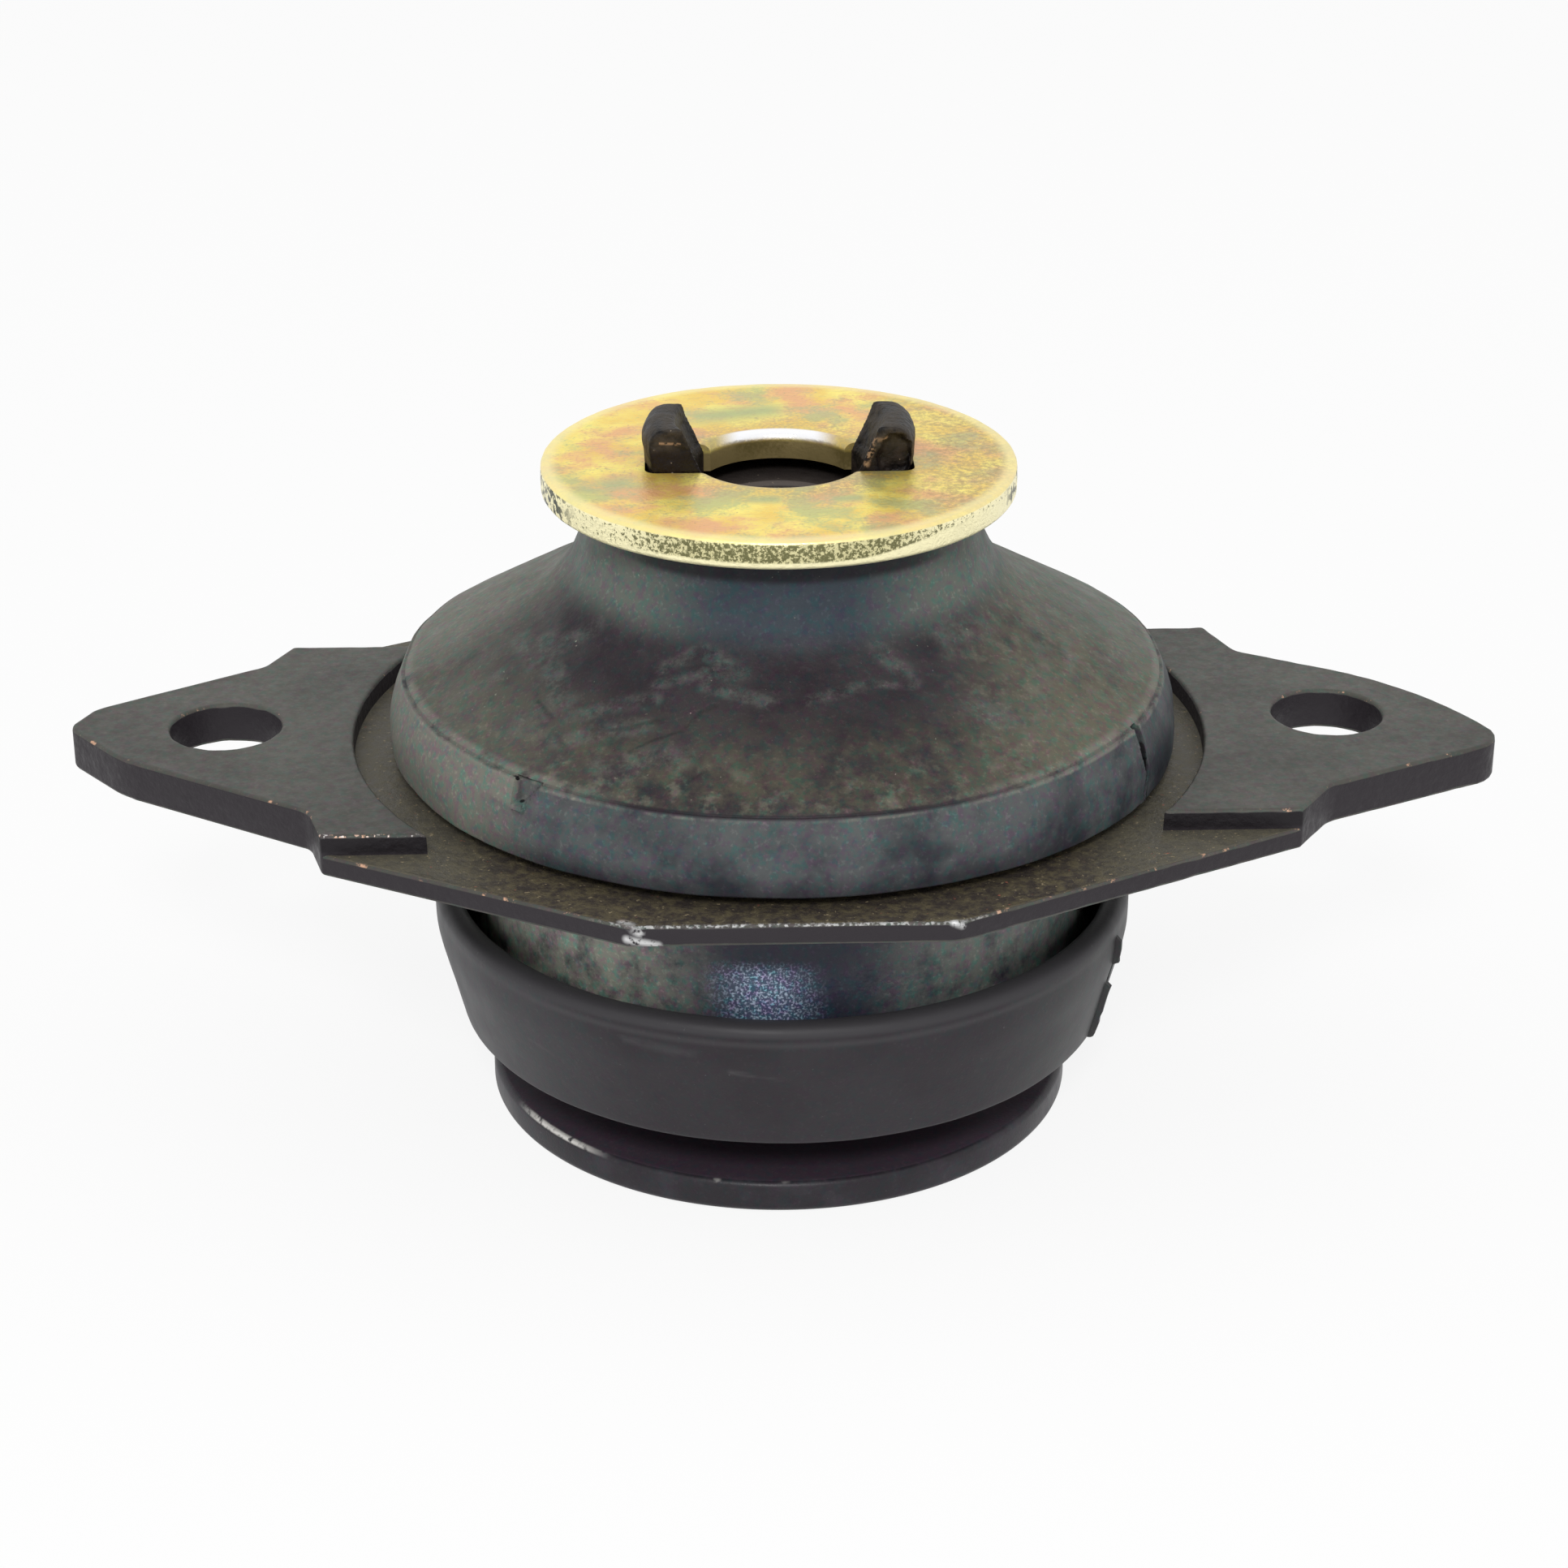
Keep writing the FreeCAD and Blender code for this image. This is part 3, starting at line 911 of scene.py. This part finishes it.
def block_rubber():
    """Black rubber, olive dust on the cone, rubbed streaks, a bluer skirt, a sleeve grey with
    dust; painted sheen and side light on the cone, neck, skirt, crease and sleeve, painted
    shade under the washer and at the skirt's foot, and a painted highlight on the sleeve.
    """
    rubber = Finish("block_rubber")
    cloud = rubber.grain(9.0, detail=5.0, rough=0.6)
    middle = rubber.grain(3.2, detail=5.0, rough=0.65, shift=3.0)
    fine = rubber.grain(0.5, detail=2.0, shift=6.0)
    height = rubber.part("Z")
    across = rubber.part("X")
    level = rubber.calc("ABSOLUTE", across)
    rubber.colour = rubber.blend(
        rubber.step(cloud, 0.38, 0.62), (0.019, 0.014, 0.018), (0.032, 0.027, 0.030)
    )
    on_cone = rubber.step(height, 0.0497, 0.0501)
    cone = rubber.both(on_cone, rubber.step(height, 0.0618, 0.0590))
    low = rubber.both(cone, rubber.step(height, 0.0572, 0.0512), rubber.step(middle, 0.30, 0.68))
    rubber.coat(low, (0.076, 0.070, 0.048), 0.9)
    right = rubber.both(cone, rubber.step(across, 0.014, 0.027), rubber.step(cloud, 0.28, 0.55))
    rubber.coat(right, (0.120, 0.112, 0.078), 0.8)
    blots = rubber.both(
        cone, rubber.step(rubber.grain(2.2, detail=4.0, rough=0.65, shift=17.0), 0.48, 0.70)
    )
    blots = rubber.both(
        blots, rubber.either(rubber.step(height, 0.0545, 0.0505), rubber.step(across, 0.012, 0.024))
    )
    rubber.coat(blots, (0.140, 0.136, 0.104), 0.65)
    # Painted sheen: lighter on the cone's left and at its back left and back right.
    left = rubber.both(cone, rubber.step(across, -0.018, -0.034), rubber.step(cloud, 0.25, 0.50))
    rubber.coat(left, (0.105, 0.103, 0.082), 0.55)
    back_left = rubber.both(
        rubber.step(across, -0.014, -0.024), rubber.step(rubber.part("Y"), -0.010, 0.004), on_cone
    )
    rubber.coat(back_left, (0.150, 0.150, 0.120), 0.8)
    back_right = rubber.both(
        rubber.step(across, 0.014, 0.024), rubber.step(rubber.part("Y"), -0.012, 0.000), on_cone
    )
    rubber.coat(back_right, (0.115, 0.125, 0.100), 0.7)
    # Painted light: the neck is bluish where it faces the front and lighter at the sides.
    neck = rubber.step(height, 0.0590, 0.0625)
    flare = rubber.blend(
        rubber.step(level, 0.005, 0.017), (0.034, 0.044, 0.056), (0.110, 0.122, 0.106)
    )
    rubber.coat(neck, flare)
    shaded = rubber.both(rubber.step(height, 0.0660, 0.0668), rubber.step(level, 0.020, 0.012))
    rubber.coat(shaded, (0.012, 0.010, 0.013), 0.8)
    plain_place = rubber.place
    rubber.place = rubber.warped(5.0, 2.0)
    pale = rubber.streaks(*pale_streaks, spread=2.1)
    dark = rubber.streaks(*dark_streaks)
    rubber.place = plain_place
    broken = rubber.step(rubber.grain(2.4, detail=6.0, rough=0.78, shift=9.0), 0.36, 0.66)
    pale = rubber.calc("MULTIPLY", rubber.both(rubber.step(pale, 0.05, 0.95), broken), 0.50)
    rubber.coat(pale, (0.118, 0.124, 0.110))
    rubber.coat(rubber.both(dark, broken), (0.014, 0.012, 0.012), 0.85)
    skirt = rubber.both(rubber.step(height, 0.0497, 0.0494), rubber.step(height, 0.0405, 0.0412))
    patches = rubber.grain(8.0, detail=4.0, rough=0.6, shift=14.0)
    skin = rubber.blend(
        rubber.step(patches, 0.36, 0.66), (0.018, 0.020, 0.026), (0.076, 0.082, 0.084)
    )
    upper = rubber.both(rubber.step(height, 0.0445, 0.0490), rubber.step(middle, 0.25, 0.55))
    skin = rubber.blend(upper, skin, (0.092, 0.098, 0.096), 0.5)
    # Painted side light: the skirt's left is lighter, with a ragged edge.
    ragged_across = rubber.calc("MULTIPLY", rubber.calc("SUBTRACT", middle, 0.5), 0.005)
    ragged_across = rubber.calc("ADD", across, ragged_across)
    sharp = rubber.both(rubber.step(ragged_across, -0.0268, -0.0274), rubber.step(height, 0.0462, 0.0475))
    grey = rubber.either(sharp, rubber.step(ragged_across, -0.0235, -0.0330))
    skin = rubber.blend(grey, skin, (0.165, 0.162, 0.135), 0.92)
    # Painted shade: the skirt is darker near its foot, except at the sides.
    foot = rubber.both(rubber.step(height, 0.0446, 0.0420), rubber.step(level, 0.034, 0.024))
    skin = rubber.blend(foot, skin, (0.016, 0.015, 0.019), 0.6)
    rubber.coat(skirt, skin)
    line = rubber.both(
        rubber.band(height, 0.04925, 0.04950, 0.0001), rubber.step(middle, 0.40, 0.62)
    )
    rubber.coat(line, (0.170, 0.168, 0.140), 0.55)
    # Painted side light: a pale line along the crease at the sides.
    rim = rubber.both(rubber.band(height, 0.0493, 0.0503, 0.0002), rubber.step(level, 0.014, 0.026))
    rim = rubber.both(rim, rubber.step(middle, 0.30, 0.55))
    rubber.coat(rim, (0.185, 0.182, 0.152), 0.65)
    specks = rubber.both(on_cone, rubber.step(fine, 0.74, 0.80))
    rubber.coat(specks, (0.26, 0.25, 0.20), 0.7)
    torn = rubber.streaks(*torn_shade)
    rubber.coat(rubber.step(torn, 0.25, 0.60), (0.006, 0.005, 0.006))
    # Dust and painted side light: the sleeve is grey at the sides, lighter at the left.
    sleeve = rubber.step(height, 0.0392, 0.0382)
    dusty_lit_sides = rubber.both(rubber.step(level, 0.004, 0.020), rubber.step(middle, 0.20, 0.62))
    brighter = rubber.blend(
        rubber.step(across, 0.010, -0.010), (0.190, 0.200, 0.180), (0.320, 0.325, 0.270)
    )
    under = rubber.blend(dusty_lit_sides, (0.028, 0.030, 0.044), brighter)
    rubber.coat(sleeve, under)
    # Painted highlight on the front of the sleeve, with painted sparkle in it.
    glow = rubber.both(sleeve, rubber.streak((-2.8, -33.3, 28.5), (-1.6, -33.3, 21.0), 14.0))
    glow = rubber.both(glow, rubber.step(height, 0.0306, 0.0286))
    rubber.coat(glow, (0.10, 0.14, 0.22), 0.65)
    sparkle = rubber.both(glow, rubber.step(rubber.grain(0.26, detail=2.0, shift=51.0), 0.46, 0.66))
    rubber.coat(sparkle, (0.46, 0.54, 0.68), 0.9)
    rubber.speckle(0.75)
    rubber.raise_by(rubber.calc("MULTIPLY", middle, cone), 0.14)
    rubber.raise_by(rubber.grain(0.35, detail=3.0), 0.03)
    rubber.raise_by(rubber.both(sleeve, fine), 0.06)
    rubber.raise_by(pale, 0.06)
    rough = rubber.between(rubber.step(middle, 0.3, 0.7), 0.50, 0.66)
    rough = rubber.between(sleeve, rough, 0.34)
    return rubber.done(rough, specular=0.22)


pale_streaks = [
    ((-24.6, -12.4, 57.0), (-22.6, -22.5, 54.7), 2.6),
    ((-27.2, -9.2, 56.2), (-25.6, -16.0, 55.3), 1.8),
    ((-34.4, -14.4, 51.3), (-29.6, -14.6, 53.6), 2.0),
    ((-22.3, -14.3, 57.5), (-18.9, -14.0, 59.2), 2.4),
    ((-26.0, -16.4, 55.0), (-20.6, -17.6, 56.5), 1.4),
    ((-12.4, -22.3, 58.2), (-8.4, -21.9, 59.5), 1.7),
    ((-8.4, -21.9, 59.5), (-4.6, -24.8, 58.5), 1.7),
    ((-12.5, -24.2, 57.2), (-6.2, -24.6, 58.3), 1.5),
    ((-7.8, -25.3, 57.7), (-2.3, -28.2, 56.7), 1.8),
    ((9.2, -22.0, 59.5), (11.9, -23.8, 57.9), 2.2),
    ((1.9, -28.0, 56.8), (12.8, -24.4, 57.2), 1.3),
    ((15.9, -18.0, 59.4), (20.4, -14.5, 58.9), 3.0),
    ((26.8, -8.3, 57.2), (26.3, -25.2, 52.4), 2.2),
    ((29.6, -9.6, 55.3), (29.4, -16.0, 53.6), 1.6),
    ((-26.8, -23.9, 52.2), (-24.9, -23.0, 53.3), 3.2),
    ((-21.4, -25.0, 53.8), (-13.2, -25.8, 56.2), 1.8),
    ((-22.8, -27.4, 52.6), (-14.2, -28.6, 54.6), 2.0),
    ((-19.0, -31.8, 52.0), (-10.4, -33.2, 53.2), 2.4),
    ((34.4, -11.0, 52.4), (37.4, -6.0, 51.6), 3.0),
    ((19.0, -26.0, 54.2), (24.0, -24.6, 53.4), 4.0),
]
dark_streaks = [
    ((-25.3, -19.8, 54.3), (-22.3, -28.2, 52.2), 1.3),
    ((-15.8, -31.0, 52.9), (-10.6, -30.1, 54.6), 0.9),
    ((-10.6, -30.1, 54.6), (-7.3, -28.0, 56.3), 0.9),
    ((-10.7, -35.8, 51.5), (-8.3, -34.9, 52.3), 1.0),
    ((-19.4, -28.0, 53.6), (-12.0, -28.6, 55.3), 1.0),
]
torn_shade = [
    ((35.9, -19.7, 49.8), (36.7, -20.1, 46.5), 1.6),
    ((36.7, -20.1, 46.5), (37.2, -20.4, 41.8), 1.1),
    ((-26.0, -30.6, 49.7), (-26.5, -31.2, 47.8), 1.1),
    ((-27.2, -29.6, 49.5), (-26.0, -30.6, 49.7), 0.8),
]

block_section = rounded([
    (block_inner_radius, cup_floor_top, 0),
    (sleeve_radius, cup_floor_top, 0),
    (sleeve_radius, plate_underside, 0),
    (block_seat_radius, plate_underside, 0),
    (block_seat_radius, plate_top, 0),
    (skirt_foot_radius, plate_top, 0),
    (skirt_radius, skirt_lip_height, 0.3),
    (skirt_radius + 0.2, 45.75, 12.0),
    (crease_radius, crease_height, 0.12),
    (crease_radius - 0.28, crease_height - 0.05, 0.05),
    (crease_radius - 0.40, crease_height + 0.22, 0.08),
    (neck_radius, cone_top_height, neck_root_round),
    (neck_radius, neck_top, 0.6),
    (block_inner_radius, neck_top, 0),
])
block_section = divided(block_section, 0.75, neck_radius - 1)
turns = close_turns(block_turns, (slit_turn, 0.04, 0.002), (flap_turn, 0.06, 0.003))
block = turned("rubber_mount", block_section, turns, rubber_offset, block_wear)
finished(block, "rubber_block", block_rubber(), 45)

# Top washer. The real one is a thick punched washer with yellow zinc plating, its bore
# notched for the two lugs. The plating is blotched pink, green and brown.

washer_radius = 24.9
washer_bore_radius = 8.4
washer_underside = 69.3
washer_top = 72.3
washer_edge_round = 0.45
washer_bore_round = 1.0
notch_end = 14.0
notch_side = 4.5
notch_round = 1.2
washer_turns = 240
washer_waves = ((0.05, 5.0), (0.04, 1.4))


def washer_wear(place, turn):
    """Slight waves from the press on the rim and the faces."""
    radius = math.hypot(place.x, place.y)
    if radius < washer_bore_radius + 1:
        return place
    wave = waves(place, washer_waves)
    share = 1 + wave / radius
    return Vector((place.x * share, place.y * share, place.z + 0.3 * wave))


def zinc_plate():
    """Yellow zinc: fine grain, pink, green and brown blotches, dark specks on the edge;
    painted highlights round the top edge and on the back of the bore's round.
    """
    zinc = Finish("zinc_plate")
    fine = zinc.grain(0.38, detail=3.0, rough=0.6, shift=5.0)
    height = zinc.part("Z")
    across = zinc.part("X")
    level = zinc.calc("ABSOLUTE", across)
    radius = zinc.reach()
    plain_place = zinc.place
    zinc.place = zinc.warped(6.0, 2.0)
    dither = zinc.calc("MULTIPLY", zinc.calc("SUBTRACT", fine, 0.5), 0.30)
    cloud = zinc.calc("ADD", zinc.grain(6.0, detail=2.0, rough=0.5), dither)
    pink = zinc.calc("ADD", zinc.grain(6.5, detail=3.0, rough=0.55, shift=3.0), dither)
    green = zinc.calc("ADD", zinc.grain(5.0, detail=3.0, rough=0.55, shift=13.0), dither)
    zinc.place = plain_place
    zinc.colour = zinc.blend(zinc.step(cloud, 0.34, 0.66), (0.90, 0.62, 0.09), (1.0, 0.86, 0.21))
    pink = zinc.step(pink, 0.42, 0.66)
    zinc.coat(pink, (0.82, 0.40, 0.20), 0.85)
    spots = zinc.streaks(
        ((-19.5, -9.0, 72.3), (-16.0, -7.5, 72.3), 8.0),
        ((-3.0, -12.5, 72.3), (-1.0, -12.6, 72.3), 4.0),
        ((4.6, -12.8, 72.3), (7.4, -12.4, 72.3), 4.0),
        ((-8.0, 13.4, 72.3), (-1.0, 15.4, 72.3), 8.0),
        ((13.6, -1.8, 72.3), (15.6, 0.4, 72.3), 4.0),
    )
    green = zinc.step(green, 0.46, 0.68)
    green = zinc.either(
        zinc.calc("MULTIPLY", green, 0.8), zinc.both(spots, zinc.step(cloud, 0.25, 0.5))
    )
    zinc.coat(green, (0.40, 0.48, 0.22), 0.85)
    brown = zinc.both(
        zinc.step(across, 0.008, 0.019),
        zinc.step(zinc.grain(0.7, detail=4.0, rough=0.75, shift=8.0), 0.34, 0.66),
    )
    zinc.coat(brown, (0.34, 0.23, 0.10), 0.72)
    near_bore = zinc.both(zinc.step(radius, 0.0150, 0.0105), zinc.step(fine, 0.30, 0.60))
    zinc.coat(near_bore, (0.40, 0.27, 0.12), 0.4)
    brushed = zinc.grain(0.25, detail=2.0, stretch=(6, 1, 1), shift=2.0)
    zinc.coat(zinc.step(brushed, 0.55, 0.75), (0.52, 0.34, 0.13), 0.35)
    zinc.coat(zinc.step(fine, 0.60, 0.75), (0.42, 0.30, 0.13), 0.5)
    # Painted highlight round the outer edge of the top face.
    face_edge = zinc.step(radius, 0.0228, 0.0243)
    zinc.coat(face_edge, (1.0, 0.88, 0.42), 0.7)
    side = zinc.both(zinc.step(zinc.facing, 0.40, 0.15), zinc.step(radius, 0.0215, 0.0235))
    zinc.coat(side, (1.0, 0.93, 0.58))
    crumbs = zinc.grain(0.42, detail=3.0, rough=0.75, shift=25.0)
    low = zinc.between(zinc.step(across, 0.006, 0.019), 0.0699, 0.0712)
    band = zinc.both(side, zinc.step(zinc.calc("SUBTRACT", height, low), 0.0, 0.0003))
    band = zinc.both(band, zinc.step(height, 0.0722, 0.0719))
    thin = zinc.between(zinc.step(level, 0.010, 0.020), 0.44, 0.56)
    dark = zinc.both(band, zinc.step(zinc.calc("SUBTRACT", crumbs, thin), 0.0, 0.08))
    middle_band = zinc.both(band, zinc.step(level, 0.018, 0.008))
    zinc.coat(middle_band, (0.50, 0.46, 0.20), 0.6)
    zinc.coat(dark, (0.10, 0.10, 0.030), 0.9)
    ends = zinc.either(zinc.step(across, -0.0205, -0.0232), zinc.step(across, 0.0225, 0.0240))
    blotch = zinc.both(side, ends, zinc.step(zinc.grain(0.9, detail=4.0, shift=28.0), 0.48, 0.56))
    zinc.coat(blotch, (0.035, 0.045, 0.020))
    bore = zinc.step(radius, 0.0096, 0.0092)
    shine = zinc.both(bore, zinc.step(height, 0.0712, 0.0718))
    wall = zinc.both(bore, zinc.step(height, 0.0716, 0.0711))
    lit_back = zinc.both(shine, zinc.step(zinc.part("Y"), 0.0, 0.004))
    lit_back = zinc.both(lit_back, zinc.step(level, 0.0068, 0.0038))
    zinc.coat(shine, (0.46, 0.36, 0.16), 0.6)
    zinc.coat(lit_back, (0.98, 0.98, 1.0))
    tan = zinc.blend(zinc.step(cloud, 0.40, 0.60), (0.22, 0.17, 0.06), (0.34, 0.26, 0.11))
    zinc.coat(wall, tan)
    notch = zinc.both(
        zinc.step(radius, 0.0150, 0.0148), zinc.step(zinc.calc("ABSOLUTE", zinc.facing), 0.4, 0.2)
    )
    zinc.coat(zinc.both(notch, zinc.step(radius, 0.0092, 0.0096)), (0.10, 0.07, 0.03))
    zinc.raise_by(fine, 0.016)
    zinc.raise_by(cloud, 0.10)
    zinc.raise_by(zinc.both(side, crumbs), 0.12)
    rough = zinc.between(zinc.step(cloud, 0.3, 0.7), 0.30, 0.42)
    rough = zinc.between(lit_back, rough, 0.12)
    return zinc.done(rough, metal=0.55)


washer_section = rounded([
    (washer_bore_radius, washer_underside, 0),
    (washer_radius, washer_underside, washer_edge_round),
    (washer_radius, washer_top, washer_edge_round),
    (washer_bore_radius, washer_top, washer_bore_round),
])
washer_section = divided(washer_section, 1.0)
washer = turned("washer", washer_section, even_turns(washer_turns), 0.0, washer_wear)
washer.data.transform(Matrix.Scale(1 / MM, 4))
notch_outline = rounded([
    (-notch_end, -notch_side, notch_round),
    (notch_end, -notch_side, notch_round),
    (notch_end, notch_side, notch_round),
    (-notch_end, notch_side, notch_round),
])
notch = prism("notch", notch_outline, washer_underside - 2, washer_top + 2)
washer = joined_by("DIFFERENCE", washer, [notch])
washer.data.transform(Matrix.Scale(MM, 4))
finished(washer, "top_washer", zinc_plate(), 30)

# Surroundings. The real thing stands on a white table between white side walls. A lamp in
# front and above throws the flange's shadow on the sleeve.

camera_target = Vector((0, 0, 35.11 * MM))
camera_distance = 379.79 * MM
camera_height = math.radians(24.693)
camera_turn = math.radians(-1.896)
lens_length = 80.04
lens_shift = (0.0033, -0.0019)
floor_half = 3.0
white = (1.0, 1.0, 1.0, 1.0)
table_white = 0.90
table_seen = 0.86
front_light = 0.34
side_light = 0.80
side_wall_from = 0.25
side_wall_full = 0.95
top_light = 0.30
ceiling_from = 0.3
lamp_power = 3.4
lamp_size = 0.16
lamp_distance = 0.9
lamp_height = math.radians(38)
lamp_turn = math.radians(-4)


def on_sphere(distance, height, turn):
    """A point round the target; turn 0 is in front and height is above the horizon."""
    flat = math.cos(height)
    way = Vector((math.sin(turn) * flat, -math.cos(turn) * flat, math.sin(height)))
    return camera_target + way * distance


def aimed(name, data, place):
    """Object at a place that looks at the target."""
    piece = linked(name, data)
    piece.location = place
    piece.rotation_euler = (camera_target - place).to_track_quat("-Z", "Y").to_euler()
    return piece


def seen_rays(tree):
    """1 for what the camera, a reflection or a view through glass shows."""
    path = tree.nodes.new("ShaderNodeLightPath")
    rays = path.outputs["Is Camera Ray"]
    for name in ("Is Glossy Ray", "Is Transmission Ray"):
        inputs = [(0, rays), (1, path.outputs[name])]
        rays = wired(tree, "ShaderNodeMath", inputs, operation="MAXIMUM").outputs[0]
    return rays


floor_mesh = bpy.data.meshes.new("table")
floor_corners = [(-floor_half, -floor_half, 0), (floor_half, -floor_half, 0)]
floor_corners += [(floor_half, floor_half, 0), (-floor_half, floor_half, 0)]
floor_mesh.from_pydata(floor_corners, [], [(0, 1, 2, 3)])
floor = linked("table", floor_mesh)
table = Finish("table")
table.colour = (table_white,) * 3
floor.data.materials.append(table.done(0.8, specular=0.1))
glow = table.add("ShaderNodeEmission", [("Color", white), ("Strength", 1.0)])
share = table.calc("MULTIPLY", seen_rays(table.tree), table_seen)
inputs = [(0, share), (1, table.shader.outputs[0]), (2, glow.outputs[0])]
mix = table.add("ShaderNodeMixShader", inputs)
surface = table.tree.nodes["Material Output"].inputs["Surface"]
plug(table.tree, surface, mix.outputs[0])

world = bpy.data.worlds.new("walls")
world.use_nodes = True
bpy.context.scene.world = world
tree = world.node_tree
way = wired(tree, "ShaderNodeTexCoord").outputs["Generated"]
split = wired(tree, "ShaderNodeSeparateXYZ", [(0, way)])
sideways = wired(tree, "ShaderNodeMath", [(0, split.outputs["X"])], operation="ABSOLUTE")
inputs = [(0, sideways.outputs[0]), (1, side_wall_from), (2, side_wall_full)]
inputs += [(3, front_light), (4, front_light + side_light)]
sides = wired(tree, "ShaderNodeMapRange", inputs)
inputs = [(0, split.outputs["Z"]), (1, ceiling_from), (2, 1.0), (3, 0.0), (4, top_light)]
above = wired(tree, "ShaderNodeMapRange", inputs)
inputs = [(0, sides.outputs[0]), (1, above.outputs[0])]
strength = wired(tree, "ShaderNodeMath", inputs, operation="ADD")
lit = tree.nodes["Background"]
plug(tree, lit.inputs["Color"], white)
plug(tree, lit.inputs["Strength"], strength.outputs[0])
seen = wired(tree, "ShaderNodeBackground", [("Color", white), ("Strength", 1.0)])
inputs = [(0, seen_rays(tree)), (1, lit.outputs[0]), (2, seen.outputs[0])]
mix = wired(tree, "ShaderNodeMixShader", inputs)
plug(tree, tree.nodes["World Output"].inputs["Surface"], mix.outputs[0])

lamp = bpy.data.lights.new("lamp", "AREA")
lamp.energy = lamp_power
lamp.size = lamp_size
aimed("lamp", lamp, on_sphere(lamp_distance, lamp_height, lamp_turn))

lens = bpy.data.cameras.new("camera")
lens.lens = lens_length
lens.sensor_width = 36.0
lens.shift_x, lens.shift_y = lens_shift
lens.clip_start = 0.01
camera = aimed("camera", lens, on_sphere(camera_distance, camera_height, camera_turn))
bpy.context.scene.camera = camera
bpy.context.scene.view_settings.view_transform = "Standard"
